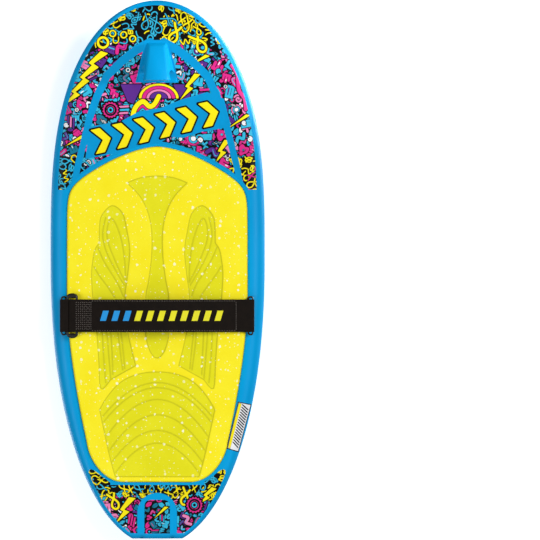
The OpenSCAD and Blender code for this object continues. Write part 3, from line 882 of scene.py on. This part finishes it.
def doodle(art, kind, at, size, turn, ink, second):
    """One small abstract motif. Its paths are given in units of its size."""
    thin = 0.6 * (0.55 + 0.03 * size)

    def lay(colour, shape, outline=1.7):
        art.lay(colour, shape, at, 1.7 * size + 4, turn, outline)

    def pen(path, share, extra=0.0, smooth=True):
        return stroke(grown(path, size), share * size + extra, smooth)

    if kind == "tube":
        path = [(-1, -0.35), (-0.35, 0.4), (0.3, -0.35), (1, 0.3)]
        lay(ink, pen(path, 0.27))
        lay(second, pen([(x, y + 0.06) for x, y in path[:3]], 0.07), -0.2)
    elif kind == "blob":
        lay(ink, blob(size, 3 * turn))
        lay(None, pen([(-0.5, -0.1), (0, -0.35), (0.45, 0)], 0, thin), 0)
        lay(second, disc(0.17 * size), 0.6)
    elif kind == "fingers":
        lay(ink, fingers(size, (0.35, 0.75, 0.2)))
        lay("white", pen([(-0.05, 0.2), (-0.05, 0.6)], 0.06, 0.2, False), -0.2)
    elif kind == "curl":
        lay(ink, pen(SPIRAL, 0.13, 0.6, False))
    elif kind == "drop":
        lay(ink, area(grown(DROP, size)))
        lay(second, area(grown([(0.42 * x, 0.42 * y - 0.12) for x, y in DROP], size)), 1.0)
    elif kind == "hoop":
        lay(ink, hoop(0.7 * size, 0.34 * size))
        lay(second, disc(0.22 * size), 0.8)
    elif kind == "bars":
        for i in (-1, 0, 1):
            path = [(side * 0.8 * size + 3 * i, 0.5 * size * i) for side in (-1, 1)]
            lay(second if i == 0 else ink, stroke(path, 0.15 * size, smooth=False), 1.2)
    elif kind == "leaf":
        lay(ink, leaf(1.1 * size, 0.6 * size))
        lay(None, pen([(-0.7, 0), (0.7, 0)], 0, thin / 1.2, False), 0)
    elif kind == "arches":
        for share, colour in ((1.0, ink), (0.68, second), (0.36, "white")):
            lay(colour, half_disc(share * size, 0.3 * size), 1.2)
    elif kind == "slab":
        lay(ink, area(grown([(-1, -0.5), (0.8, -0.7), (1, 0.4), (-0.7, 0.7)], size)))
        lay(None, pen([(-0.5, 0.25), (0.6, 0.05)], 0, thin, False), 0)
        lay(second, pen([(-0.5, -0.15), (0.4, -0.3)], 0.1, 0, False), -0.2)
    elif kind == "curly":
        lay(ink, curly(0.5 * size, 2, 0.045 * size + 0.55), 1.0)
    elif kind == "tail":
        lay(ink, looped_tail(0.75 * size, 0.05 * size + 0.6), 1.0)
    elif kind == "hook":
        lay(ink, pen([(-0.6, 0.5), (-0.5, -0.4), (0, -0.6), (0.4, -0.2), (0.3, 0.6)], 0.05, 0.6), 1.0)
    elif kind == "wave":
        lay(ink, pen([(0.35 * (i - 3), 0.32 * (1 if i % 2 else -1)) for i in range(7)], 0.04, 0.6), 1.0)
    elif kind == "tick":
        lay(ink, pen([(-0.35, 0), (0, 0.08), (0.4, 0)], 0.05, 0.5), 0.8)


SMALL = ["tube", "blob", "leaf", "drop", "hoop", "bars", "slab", "tube", "curl", "fingers"]
LARGE = ["tube", "fingers", "slab", "arches", "tube", "blob", "fingers", "slab", "bars"]
LINEWORK = ["curly", "tail", "hook", "curly", "tick", "wave", "tail", "hook", "curly"]
MOSTLY = [
    "cyan", "magenta", "cyan", "magenta", "cyan", "pink",
    "purple", "cyan", "magenta", "teal", "cyan", "white",
]
BOLD = ["cyan", "magenta", "cyan", "cyan", "magenta", "pink", "teal", "purple"]


def scatter(art, box, pitch, seed, inks=MOSTLY, kinds=SMALL, grow=0.58):
    """Fills a box with motifs on a loose grid."""
    draw = random.Random(seed)
    (x0, y0), (x1, y1) = box
    rows = int((y1 - y0) / pitch) + 1
    columns = int((x1 - x0) / pitch) + 1
    for row in range(rows):
        for column in range(columns):
            x = x0 + pitch * (column + 0.5 * (row % 2)) + draw.uniform(-0.2, 0.2) * pitch
            y = y0 + pitch * row + draw.uniform(-0.2, 0.2) * pitch
            kind, ink, second = draw.choice(kinds), draw.choice(inks), draw.choice(inks)
            size = pitch * draw.uniform(0.8, 1.2) * grow
            doodle(art, kind, (x, y), size, draw.uniform(0, 2 * math.pi), ink, second)


# Heights of a film's faces above the deck, and how far apart its rows of points are.
FILM_TOP, FILM_GAP, FILM_PITCH = 0.35, 0.05, 1.8
# Half of what parts the two rows at a jump, and half of what parts the nose films on the middle line.
BREAK, SEAM = 0.04, 0.03


def film_rows(low, high, breaks):
    """Rows across a film, with a pair close together where its outline jumps."""
    ends = [low, *breaks, high]
    rows = []
    for start, end in zip(ends, ends[1:]):
        count = max(2, int((end - start) / FILM_PITCH))
        rows.append(np.linspace(start + BREAK, end - BREAK, count))
    return np.concatenate(rows)


def on_deck(x, y):
    """Rings of a thin closed film lying on the deck, from rows of places."""
    rest = top_z(x, y)
    wide = np.concatenate([x, x[:, ::-1]], 1)
    long = np.concatenate([y, y[:, ::-1]], 1)
    high = np.concatenate([rest + FILM_TOP, rest[:, ::-1] + FILM_GAP], 1)
    return np.stack([wide, long, high], -1)


def film_shape(side, y, inner, outer, columns):
    """A film from x = inner to x = outer, on the left (-1) or the right (1)."""
    even = np.linspace(0, 1, columns + 1)
    share = 0.5 * np.sin(even * math.pi / 2) + 0.5 * even
    x = side * (inner[:, None] + (outer - inner)[:, None] * share[None, :])
    return on_deck(x, np.broadcast_to(y[:, None], x.shape))


# Bare margin outside the films, at places along the board.
MARGIN_Y, MARGIN = [-HALF_L, -470, 190, 400, HALF_L], [10, 13, 17, 13, 11.5]


def art_outer(y):
    """Outer edge of the films, set in from the board's outline."""
    station = HALF_L * np.sin(np.linspace(-1, 1, 600) * math.pi / 2)
    wide, margin = half_width(station), np.interp(station, MARGIN_Y, MARGIN)
    slope = np.gradient(wide, station)
    steep = np.hypot(1, slope)
    return np.interp(y, station + margin * slope / steep, wide - margin / steep)


HOOK_BEHIND, HOOK_AHEAD = HOOK_LOW[1] - 2, HOOK_HIGH[1] + 2


def nose_inner(y):
    beside_pad = np.minimum(pad_width(np.minimum(y - 6, PAD_FRONT - 0.1)) + 4, art_outer(y) - 1)
    beside_hook = np.interp(y, [HOOK_BEHIND, HOOK_AHEAD], [HOOK_FOOT[0] + 2.5, HOOK_FOOT[1] + 3])
    round_hook = np.where((y > HOOK_BEHIND) & (y < HOOK_AHEAD), beside_hook, SEAM)
    return np.where(y < PAD_FRONT + 6, beside_pad, round_hook)


def print_on(piece, x, y, draw):
    """Draws artwork at the points of a film and stores its inks for the material."""
    art = Print(x, y)
    draw(art)
    for ink, values in art.inks.items():
        add_values(piece, ink, values)


def art_film(name, node, side, y, inner, outer, columns, draw, look):
    rings = film_shape(side, y, inner, outer, columns)
    piece = make_piece(name, loft(rings), "board", node, look, sharp=70)
    print_on(piece, *rings.reshape(-1, 3)[:, :2].T, draw)


def bolt_between(art, start, end, width, kinks):
    """A yellow bolt from one point to another."""
    length = math.dist(start, end)
    turn = math.atan2(end[1] - start[1], end[0] - start[0])
    art.lay("yellow", bolt(length, width, kinks), start, length + width, turn, outline=2.4)


A_BAND = [
    (16, 536), (48, 519), (82, 493), (118, 458), (142, 409), (159, 361), (171, 312), (187, 249), (198, 196),
]
NOSE_BOLTS = [
    ((-126, 518), (-212, 386), 27, 4), ((93, 466), (62, 399), 21, 2), ((163, 310), (146, 252), 22, 2),
    ((120, 510), (84, 478), 15, 1), ((217, 371), (168, 328), 13, 1), ((-172, 321), (-214, 287), 14, 1),
]
# Loops with tails along the nose: x, y, size, turn, line radius, ink.
NOSE_LOOPS = [
    (-26, 580, 15, -0.4, 1.3, "cyan"), (2, 574, 17, 0.3, 1.3, "cyan"), (34, 586, 16, 0.9, 1.3, "cyan"),
    (-50, 590, 11, -0.9, 1.2, "cyan"), (70, 574, 15, -0.5, 1.6, "yellow"), (41, 552, 18, -0.5, 2.6, "yellow"),
    (103, 531, 20, 0.5, 2.6, "yellow"), (98, 563, 10, 0.4, 1.4, "yellow"),
]
NOSE_HOOPS = [(-127, 536, 12), (-104, 557, 7), (-78, 554, 7), (-57, 545, 7)]
BLACK_CAP = [
    (-160, 512), (-100, 540), (-40, 538), (40, 538), (95, 540), (150, 508), (100, 640), (-100, 640),
]


def linework(art, box, pitch, seed, inks):
    """Thin curling lines."""
    scatter(art, box, pitch, seed, inks, LINEWORK, 0.8)


def two_sizes(art, box, small_seed, large_pitch, large_seed, large_grow):
    """Small motifs with larger ones printed over them."""
    scatter(art, box, 15, small_seed)
    scatter(art, box, large_pitch, large_seed, BOLD, LARGE, large_grow)


def badge(art, x, y):
    """A dark notched disc with a ring in it."""
    art.lay("magenta", area(star(20, 16, 0.82)), (x, y), 30, outline=3.5)
    art.lay(None, disc(14.5), (x, y), 30, outline=0)
    art.lay("magenta", hoop(9.5, 1.6), (x, y), 30, outline=0)
    art.lay("cyan", hoop(5, 3), (x, y), 30, outline=1)


def under_hook(art):
    """Arches and a flowing wave below the hook's mouth."""
    art.lay("purple", area([(-86, 438), (-34, 438), (-56, 392), (-70, 398)]), outline=2)
    art.lay("purple", area([(84, 438), (38, 438), (58, 398), (76, 404)]), outline=2)
    for r, ink in ((47, "yellow"), (39, "magenta"), (29, "pink"), (21, "purple")):
        art.lay(ink, lambda x, y, r=r: np.maximum(np.hypot(x, 1.35 * y) - r, -y), (4, 405), 60, outline=1.8)
    wave = [(-60, 352), (-52, 382), (-34, 398), (-18, 386), (-6, 392), (4, 410)]
    for ink, radius, drop_by in (("cyan", 5, 15), ("magenta", 5, 9), ("yellow", 5.5, 0)):
        art.lay(ink, stroke([(x, y - drop_by) for x, y in wave], radius), outline=1.6)


def nose_art(art):
    """Motifs on black, yellow bolts, the plain bands and a row of chevrons."""
    field = ((-250, 180), (250, 560))
    two_sizes(art, field, 11, 34, 4, 0.42)
    scatter(art, field, 41, 17, ["white", "white", "cyan"], ["curl", "hoop", "bars"], 0.13)
    art.lay(None, area(BLACK_CAP), outline=1)
    linework(art, ((-150, 540), (0, 640)), 19, 5, ["cyan", "cyan", "cyan", "yellow"])
    linework(art, ((14, 540), (150, 640)), 19, 2, ["yellow", "yellow", "cyan", "yellow"])
    beside_pad = [(176, 180), (250, 180), (250, 272), (176, 262)]
    warm, cool = ["yellow", "yellow", "yellow", "magenta"], ["cyan", "cyan", "yellow"]
    for side, inks, seed in ((1, warm, 8), (-1, cool, 9)):
        low, high = sorted((side * 178, side * 250))
        art.lay(None, area([(side * x, y) for x, y in beside_pad]), outline=1)
        linework(art, ((low, 188), (high, 262)), 18, seed, inks)
    for x, y, size, turn, radius, ink in NOSE_LOOPS:
        art.lay(ink, looped_tail(size, radius), (x, y), 2 * size, turn, outline=1.8)
    for x, y, r in NOSE_HOOPS:
        art.lay("yellow", hoop(r, 0.45 * r), (x, y), 2 * r, outline=1.8)
    under_hook(art)
    badge(art, -110, 378)
    art.lay("magenta", stroke([(177, 482), (190, 460), (193, 425), (207, 404), (209, 380)], 4.5), outline=2)
    for start, end, width, kinks in NOSE_BOLTS:
        bolt_between(art, start, end, width, kinks)
    plain_bands(art)
    chevrons(art)


# Clear ground of the chevron row, from its lower left corner round.
CHEVRON_GROUND = [
    (-170, 262), (-140, 268), (-107, 274), (-40, 296), (10, 303), (31, 315), (62, 312), (104, 326),
    (152, 334), (174, 342), (158, 404), (118, 420), (56, 402), (12, 384), (-44, 374), (-84, 352),
    (-120, 346), (-160, 338),
]


def plain_bands(art):
    """Where the film is clear and the blue board shows."""
    taper = np.linspace(10.5, 7, len(A_BAND))
    for side in (-1, 1):
        for (a, b), r in zip(zip(A_BAND, A_BAND[1:]), taper):
            art.lay("blue", stroke([(side * a[0], a[1]), (side * b[0], b[1])], r, smooth=False), outline=-0.3)
    art.lay("blue", area(CHEVRON_GROUND), outline=-0.3)
    pad_y = PAD_FRONT - np.linspace(0, 1, 9) ** 2 * (PAD_FRONT - 188)
    right = [(float(pad_width(y)) if y < PAD_FRONT - 0.1 else 0.0, y) for y in pad_y]
    art.lay("blue", stroke([(-x, y) for x, y in reversed(right)] + right[1:], 12, smooth=False), outline=-0.3)
    art.lay("blue", stroke([(-18, 531), (18, 531)], 11, smooth=False), outline=-0.3)


def chevrons(art):
    """A rising row of arrow bars in place of lettering."""
    count = 6
    for i in range(count):
        t = i / (count - 1)
        at = (-134 + 254 * t, 306 + 62 * t)
        half, arm = 29, 18
        shape = [(-arm, half), (0.25 * arm, half), (arm + 7, 0), (0.25 * arm, -half), (-arm, -half), (6, 0)]
        art.lay(None, area(shape), at, 60, 0.22, outline=4)
        art.lay("yellow", area(shape), at, 60, 0.22, outline=1)


def nose_print(look):
    y = film_rows(190, HALF_L - MARGIN[-1] - 0.6, [HOOK_BEHIND, HOOK_AHEAD])
    for side, name in ((-1, "nose_print_left"), (1, "nose_print_right")):
        art_film(name, "nose_graphic", side, y, nose_inner(y), art_outer(y), 108, nose_art, look)


ARCH_R, ARCH_Y = 46, -573
TAIL_TIP, TAIL_END = -471, -621
BEHIND_PAD = PAD_REAR - 7
TAIL_TAB_TOP, TAIL_TAB_END = -543.1, -622


def tail_inner(y):
    beside_pad = np.minimum(pad_width(np.maximum(y, PAD_REAR + 2) + 2) + 9, art_outer(y) - 1)
    arch = np.sqrt(np.clip(ARCH_R**2 - np.clip(y - ARCH_Y, 0, None) ** 2, SEAM**2, None))
    return np.where(y > BEHIND_PAD, beside_pad, arch)


def tail_tab(y):
    """Half the width of the small film inside the bare arch."""
    return 16 + 14 * np.sqrt(1 - np.clip((y + 557) / 14, 0, 1) ** 2)


def tail_art(art):
    two_sizes(art, ((-175, -625), (175, -455)), 21, 33, 3, 0.4)
    band = [(-190, -440), (-175, -500), (-150, -527), (0, -535), (150, -527), (175, -500), (190, -440)]
    art.lay(None, area(band), outline=1)
    linework(art, ((-180, -530), (0, -455)), 18, 6, ["yellow", "yellow", "cyan"])
    linework(art, ((9, -530), (180, -455)), 18, 7, ["yellow", "yellow", "cyan"])
    for x, y, turn in ((-100, -550, 0.3), (66, -540, -0.3)):
        art.lay("yellow", looped_tail(16, 2.4), (x, y), 34, turn, outline=1.8)
    for start, end, width, kinks in (((-62, -534), (-88, -600), 25, 2), ((133, -512), (104, -556), 18, 2)):
        bolt_between(art, start, end, width, kinks)
    badge(art, 88, -555)
    art.lay("blue", lambda x, y: np.hypot(x, np.maximum(y, 0)) - ARCH_R - 1, (0, ARCH_Y), 80, outline=-0.3)


def tab_art(art):
    scatter(art, ((-40, -630), (40, -540)), 15, seed=33, inks=["cyan", "cyan", "magenta", "teal"])
    bolt_between(art, (22, -556), (-2, -590), 13, 1)


def tail_print(look):
    y = film_rows(TAIL_END, TAIL_TIP, [BEHIND_PAD])
    inner = tail_inner(y)
    outer = np.maximum(art_outer(y), inner + 2)
    rounded = np.sqrt(1 - np.clip((y - TAIL_TIP + 12) / 12.2, 0, 1) ** 2)
    middle, reach = (outer + inner) / 2, (outer - inner) / 2 * rounded
    for side, name in ((-1, "tail_print_left"), (1, "tail_print_right")):
        art_film(name, "tail_graphic", side, y, middle - reach, middle + reach, 84, tail_art, look)
    y = np.linspace(TAIL_TAB_END, TAIL_TAB_TOP, 44)
    art_film("tail_print_tab", "tail_graphic", 1, y, -tail_tab(y), tail_tab(y), 40, tab_art, look)


# Label corners, inner and outer, at its front and its rear.
LABEL = (((191, -311), (223, -318)), ((164, -422), (192, -431)))
LABEL_LINES, LINE_PITCH, LINE_SLANT, LINE_HALF = 16, 6, 9, 1.15


def slab_at(x0, x1, y0, y1):
    """An upright rectangle between these sides."""
    middle_x, middle_y, half_x, half_y = (x0 + x1) / 2, (y0 + y1) / 2, (x1 - x0) / 2, (y1 - y0) / 2
    return lambda x, y: np.maximum(abs(x - middle_x) - half_x, abs(y - middle_y) - half_y)


def label_art(art, long, wide):
    """A pale label with a dark frame, a coloured strip and plain slanting lines."""
    art.lay("white", slab_at(2.1, wide - 2.1, 2.1, long - 2.1))
    art.lay("yellow", slab_at(3, 9, 3.5, long - 3.5), outline=0.4)
    for i in range(LABEL_LINES):
        start = 5 + LINE_PITCH * i
        line = stroke([(12, start), (wide - 5, start + LINE_SLANT)], LINE_HALF, smooth=False)
        art.lay(None, line, outline=0.25)


def rail_label(look):
    (front_in, front_out), (rear_in, rear_out) = np.array(LABEL, float)
    long, wide = math.dist(front_in, rear_in), math.dist(front_in, front_out)
    t, u = np.linspace(0, 1, 106)[:, None], np.linspace(0, 1, 31)[None, :]
    start = front_in + (rear_in - front_in) * t
    reach = front_out + (rear_out - front_out) * t - start
    x, y = (start[:, None, k] + reach[:, None, k] * u for k in (0, 1))
    shape = loft(on_deck(x, y))
    piece = make_piece("rail_label_print", shape, "board", "rail_label", look, sharp=70)
    across, along = np.broadcast_arrays(wide * np.concatenate([u, u[:, ::-1]], 1), long * t)
    print_on(piece, across.ravel(), along.ravel(), lambda art: label_art(art, long, wide))


# ---- Strap ----

STRAP_RISE, ARCH_HALF = 26, 184
LAYER_LOW = box_mm("strap_webbing")[1][2] - STRAP_RISE - 2
WIRE_R, ROD_R, FOAM_HALF = 2, 3, 2.95


def lift(x):
    """Height that the arch over the knees adds."""
    return STRAP_RISE * np.cos(math.pi / 2 * np.clip(x / ARCH_HALF, -1, 1)) ** 2


def arched(x, section, across_by, z):
    """A section of the strap standing on the arch at x."""
    return [(x, STRAP_Y + across_by + across, z + up + float(lift(x))) for across, up in section]


def rounded_section(half_across, half_thick, corner, steps=4):
    """A thin rectangle with round edges, as (across, up) points."""
    points = []
    for sx, sz, start in ((1, 1, 0), (-1, 1, 90), (-1, -1, 180), (1, -1, 270)):
        for k in range(steps + 1):
            a = math.radians(start + 90 * k / steps)
            points.append((sx * (half_across - corner) + corner * math.cos(a),
                           sz * (half_thick - corner) + corner * math.sin(a)))
    return points


def ribbon(path, section):
    """Sweeps a section along a path of (x, z) points over the strap's middle line."""
    path = np.asarray(path, float)
    ahead = np.gradient(path, axis=0)
    ahead /= np.linalg.norm(ahead, axis=1)[:, None]
    rings = []
    for (x, z), (tx, tz) in zip(path, ahead):
        rings.append([(x - tz * up, STRAP_Y + across, z + tx * up) for across, up in section])
    return loft(rings)


# The strap's left end lying over the buckle ring, measured from the ring's inboard bar.
STRAP_FLAP = [
    (-17, -1.2), (-14, -0.7), (-11, -0.3), (-8, -0.1), (-5, 0), (-2, 0), (1, 0), (3, -0.3),
    (5, -0.8), (9, -2.4),
]


def upper_run():
    """Middle line of the strap from its flap to the right ring, as (x, z) points."""
    z = LAYER_LOW + 1
    rod_x, rod_z = box_mm("buckle_ring")[1][0] - ROD_R, box_mm("buckle_ring")[1][2] - ROD_R
    over = rod_z + ROD_R + 3.6
    path = [(rod_x + across, over + up) for across, up in STRAP_FLAP]
    path.append((rod_x + 14, z + 0.5))
    x = np.linspace(rod_x + 20, ARCH_HALF, 106)
    path += list(zip(x, z + lift(x)))
    return path + [(ARCH_HALF + 8, z - 0.1), (ARCH_HALF + 16, z - 0.4), (ARCH_HALF + 28, z - 0.5)]


STRAP_RUN = upper_run()


def strap_top(x):
    return np.interp(x, *zip(*STRAP_RUN)) + 1


def strap_webbing(look):
    """The main strap: over the knees, round the right ring and back underneath."""
    right = (STRAP_HIGH[0] - WIRE_R - 2.3, box_mm("right_ring")[1][2] - WIRE_R)
    r = WIRE_R + 0.3 + 1
    path = STRAP_RUN + arc(*right, r, 80, -90)
    low = LAYER_LOW - 1.5
    path += [(right[0] - 12, right[1] - r + 0.6), (right[0] - 24, low - 0.9), (right[0] - 34, low)]
    shape = ribbon(path, rounded_section(WEBBING_WIDTH / 2, 1, 0.9))
    make_piece("strap_web", shape, "strap", "strap_webbing", look, sharp=50)


def strap_padding(look):
    """Closed-cell foam under the webbing, softly rounded along its edges."""
    low, high = box_mm("strap_padding")
    middle = LAYER_LOW - 0.15 - FOAM_HALF
    rings = []
    for x in np.linspace(low[0] + 0.5, high[0] - 0.5, 90):
        end = math.sqrt(1 - (1 - min(1, (x - low[0]) / 5, (high[0] - x) / 5)) ** 2)
        thick = FOAM_HALF * max(end, 0.3)
        section = rounded_section(WEBBING_WIDTH / 2 - 2 - 2 * (1 - end), thick, 0.9 * thick, 6)
        rings.append(arched(x, section, 0, middle))
    piece = make_piece("strap_foam_pad", loft(rings), "strap", "strap_padding", look)


def strap_binding(look):
    """Folded tape sewn along both edges of the padding."""
    low, high = box_mm("strap_binding")
    section = rounded_section(0.95, 3, 0.9, 5)
    places = np.linspace(low[0], high[0], 90)
    edges = [side * (WEBBING_WIDTH / 2 - 0.95) for side in (-1, 1)]
    shape = join(loft([arched(x, section, edge, LAYER_LOW - 3.1) for x in places]) for edge in edges)
    make_piece("strap_edging", shape, "strap", "strap_binding", look)


STITCH_R, STITCH_LONG = 0.5, 3.6


def stitch(x, y, heading):
    """A short thread lying on the strap, around its middle."""
    angle = np.linspace(0, 2 * math.pi, 7)[:-1]
    rings = []
    for t in np.linspace(-1, 1, 5):
        swell = STITCH_R * math.sqrt(1.02 - t * t) + 0.05
        a = x + 0.5 * STITCH_LONG * t * math.cos(heading)
        b = STRAP_Y + y + 0.5 * STITCH_LONG * t * math.sin(heading)
        z = strap_top(a) + 0.1 + 0.25 * (1 - t * t)
        across, up = swell * np.cos(angle), swell * np.sin(angle)
        beside = a - across * math.sin(heading), b + across * math.cos(heading)
        rings.append(np.column_stack([*beside, z + up]))
    return loft(rings)


def stitches(name, places, look):
    shape = join(stitch(*place) for place in places)
    make_piece(name, shape, "strap", "strap_stitching", look, sharp=60)


def strap_threads(look):
    """Two long rows along the edges, a cross row at each end and the sewn patch beside the buckle."""
    edge = WEBBING_WIDTH / 2 - 3.5
    rows = [(x, side * edge, 0) for side in (-1, 1) for x in np.linspace(-152, 183, 58)]
    ends = [(x, y, math.pi / 2) for x in (-156, 186.5) for y in np.linspace(-31, 31, 13)]
    stitches("strap_rows", rows + ends, look)
    patch = []
    for column in range(7):
        for row in range(13):
            lean = 0.9 if (column + row) % 2 else -0.9
            patch.append((-190.5 + 5 * column, -31 + 5.2 * row, math.pi / 2 + lean))
    stitches("strap_patch_stitches", patch, look)


BAR_X, BAR_PITCH, BAR_LENGTH, BAR_WIDTH, BAR_SLANT, BAR_COUNT = -134, 27, 20, 24, 7, 11


def bar(index):
    """One slanted bar printed on the strap."""
    start = BAR_X + BAR_PITCH * index
    z = LAYER_LOW + 2.1
    rings = []
    for t in np.linspace(-0.5, 0.5, 9):
        x = np.linspace(start + 3, start + BAR_LENGTH - 3, 7) + BAR_SLANT * t
        y = STRAP_Y + BAR_WIDTH * t
        upper = [(a, y, z + 0.4 + float(lift(a))) for a in x]
        rings.append(upper + [(a, y, z + float(lift(a))) for a in x[::-1]])
    return loft(rings)


def strap_print(blue, yellow):
    """A row of slanted bars in place of lettering: three blue, then yellow."""
    for name, look, bars in (("blue", blue, range(3)), ("yellow", yellow, range(3, BAR_COUNT))):
        shape = join(bar(i) for i in bars)
        make_piece(f"strap_bars_{name}", shape, "strap", "strap_print", look, sharp=40)


def bent_rod(name, node, body, outer, inner, look, swell=0.0, bend=5):
    """A rod bent to a rounded rectangle between two bars at (x, z), and thicker at its ends by swell."""
    low, high = box_mm(node)
    r = (high[2] - low[2] - abs(outer[1] - inner[1])) / 2
    half = (high[1] - low[1]) / 2 - r
    span = math.dist(outer, inner)
    corner = min(bend, 0.49 * span)
    direction = (np.array(inner) - np.array(outer)) / span
    loop = []
    for a, b, start in ((span - corner, half - corner, 0), (corner, half - corner, 90),
                        (corner, corner - half, 180), (span - corner, corner - half, 270)):
        loop += arc(a, b, corner, start, start + 90, 8)
    loop = np.array(loop)
    ahead = np.roll(loop, -1, 0) - np.roll(loop, 1, 0)
    ahead /= np.linalg.norm(ahead, axis=1)[:, None]
    rings = []
    for (inward, y), (tx, ty) in zip(loop, ahead):
        more = swell * float(smoothstep((abs(y) - half + corner) / corner))
        y -= math.copysign(more, y)
        ring = []
        for angle in np.linspace(0, 2 * math.pi, 21)[:-1]:
            out, up = (r + more) * math.cos(angle), (r + 0.3 * more) * math.sin(angle)
            u = inward + out * ty
            x = outer[0] + direction[0] * u - direction[1] * up
            z = outer[1] + direction[1] * u + direction[0] * up
            ring.append((x, STRAP_Y + y - out * tx, z))
        rings.append(ring)
    make_piece(name, loft(rings, endless=True), body, node, look)


def rings_and_buckle(wire, rod):
    for side, node in ((-1, "left_ring"), (1, "right_ring")):
        low, high = box_mm(node)
        near, far = sorted((abs(low[0]), abs(high[0])))
        outer, inner = (side * (far - WIRE_R), high[2] - WIRE_R), (side * (near + WIRE_R), low[2] + WIRE_R)
        bent_rod(f"{node}_wire", node, node, outer, inner, wire)
    low, high = box_mm("buckle_ring")
    bent_rod("buckle_rod", "buckle_ring", "buckle",
             (low[0] + ROD_R, low[2] + ROD_R), (high[0] - ROD_R, high[2] - ROD_R), rod, swell=2.6, bend=9)


# ---- Pieces carried over from the frame ----


def carried_over():
    """Gives every CAD piece that stays visible its own finish."""
    webbing = webbing_look("webbing_black", (24, 18, 14))
    anchor = plastic_look("anchor_plastic", (24, 24, 26))
    looks = {
        "foam_core": plastic_look("core_foam", (226, 206, 150), 0.9, 2.2, 0.4),
        "fill_plug": plastic_look("plug_plastic", (26, 26, 28)),
        "plug_seal": plastic_look("seal_rubber", (20, 20, 20), 0.6),
        "left_anchor": anchor,
        "right_anchor": anchor,
        "anchor_inserts": metal_look("brass", (196, 160, 84), 0.35),
        "anchor_washers": metal_look("steel_washer", (190, 192, 196), 0.3),
        "anchor_screws": metal_look("steel_screw", (196, 198, 202), 0.26),
        "buckle_belt": webbing,
        "tail_webbing": webbing,
        "hook_patch": pile_look("hook_pile", (14, 14, 15), 1.1),
        "loop_patch": pile_look("loop_pile", (18, 18, 19), 0.8),
        "tail_stitching": thread_look("thread_dark", (70, 64, 60)),
        "strap_cover": pile_look("neoprene_cover", (20, 20, 21), 1.6),
    }
    for node, look in looks.items():
        paint(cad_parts[node], look)


# ---- Stage ----


def floor():
    """A pale ground that can't be seen from below and adds no light to the board."""
    half = 8 / MM
    ground = [(-half, -half, 0), (half, -half, 0), (half, half, 0), (-half, half, 0)]
    piece = add_object("floor", new_mesh("floor", ground, [[0, 1, 2, 3]]))
    piece.location.z = -0.5 * MM
    look = Look("floor_paint", roughness=0.9, Specular_IOR_Level=0.1, Emission_Strength=0.44)
    look.shader.inputs["Emission Color"].default_value = srgb(252, 252, 253)
    look.colour(look.mix(look.noise(400), srgb(248, 249, 250), srgb(250, 250, 251)))
    clear = look.node("ShaderNodeBsdfTransparent").outputs[0]
    under = look.node("ShaderNodeNewGeometry").outputs["Backfacing"]
    both = look.node("ShaderNodeMixShader", {0: under, 1: look.shader.outputs[0], 2: clear})
    look.tree.links.new(both.outputs[0], look.tree.nodes["Material Output"].inputs["Surface"])
    paint(piece, look)
    piece.visible_diffuse = False
    piece.visible_glossy = False
    piece.visible_shadow = False


def add_light(name, kind, place, aim, power, **settings):
    lamp = bpy.data.lights.new(name, kind)
    lamp.energy = power
    for key, value in settings.items():
        setattr(lamp, key, value)
    light = add_object(name, lamp)
    light.location = place
    light.rotation_euler = (Vector(aim) - light.location).to_track_quat("-Z", "Y").to_euler()


# Round soft lights: name, place, size in metres and power in watts.
SOFT_LIGHTS = [
    ("key", (4.4, 1.6, 4.9), 3.0, 262),
    ("fill", (-4.4, -0.8, 4.9), 3.6, 162),
    ("back", (0.2, -3.4, 3.0), 2.4, 25),
    ("below", (2.6, 1.6, -2.4), 2.0, 175),
    ("below_left", (-2.4, -0.8, -2.6), 2.4, 45),
]


def studio():
    """Soft light from both sides, stronger from the right, over a dim even surround."""
    world = bpy.data.worlds.new("studio")
    world.use_nodes = True
    background = world.node_tree.nodes["Background"]
    background.inputs["Color"].default_value = (1, 1, 1, 1)
    background.inputs["Strength"].default_value = 0.24
    bpy.context.scene.world = world
    for name, place, size, power in SOFT_LIGHTS:
        add_light(name, "AREA", place, (0, 0, 0), power, shape="DISK", size=size)
    # A narrow beam along the deck picks out the hook's right side.
    add_light(
        "hook_side", "SPOT", (2.6, 0.62, 0.75), (0.035, 0.49, 0.1), 480,
        spot_size=math.radians(7), spot_blend=1, shadow_soft_size=0.15,
    )


def camera():
    """Straight down, with a long lens. The board stands in the left half of the frame."""
    data = bpy.data.cameras.new("camera")
    data.sensor_width = 36
    data.lens = 300
    frame_width, board_to_middle, deck_level = 1.277, 0.2665, 0.06
    view = add_object("camera", data)
    view.location = (board_to_middle, 0, frame_width * data.lens / data.sensor_width + deck_level)
    bpy.context.scene.camera = view
    bpy.context.scene.view_settings.view_transform = "Standard"


camera()
floor()
studio()
moulded = moulded_look()
board_skin(moulded)
tow_hook(moulded)
knee_pad(foam_look())
film = printed_look("printed_film")
nose_print(film)
tail_print(film)
rail_label(printed_look("label_film", (30, 30, 32)))
strap_webbing(webbing_look("webbing_strap", (23, 17, 13)))
strap_padding(plastic_look("strap_foam", (34, 33, 33), 0.85, 1.4, 0.15))
strap_binding(webbing_look("binding_tape", (20, 20, 20), 1.2))
strap_print(
    plastic_look("ink_blue", (6, 146, 220), 0.6, 1.5, 0.1, 1.05),
    plastic_look("ink_yellow", (226, 220, 16), 0.6, 1.5, 0.1, 1.05),
)
strap_threads(thread_look("thread_grey", (112, 104, 98)))
rings_and_buckle(
    plastic_look("coated_wire", (20, 20, 21), 0.35),
    plastic_look("buckle_plastic", (18, 18, 19), 0.4),
)
carried_over()
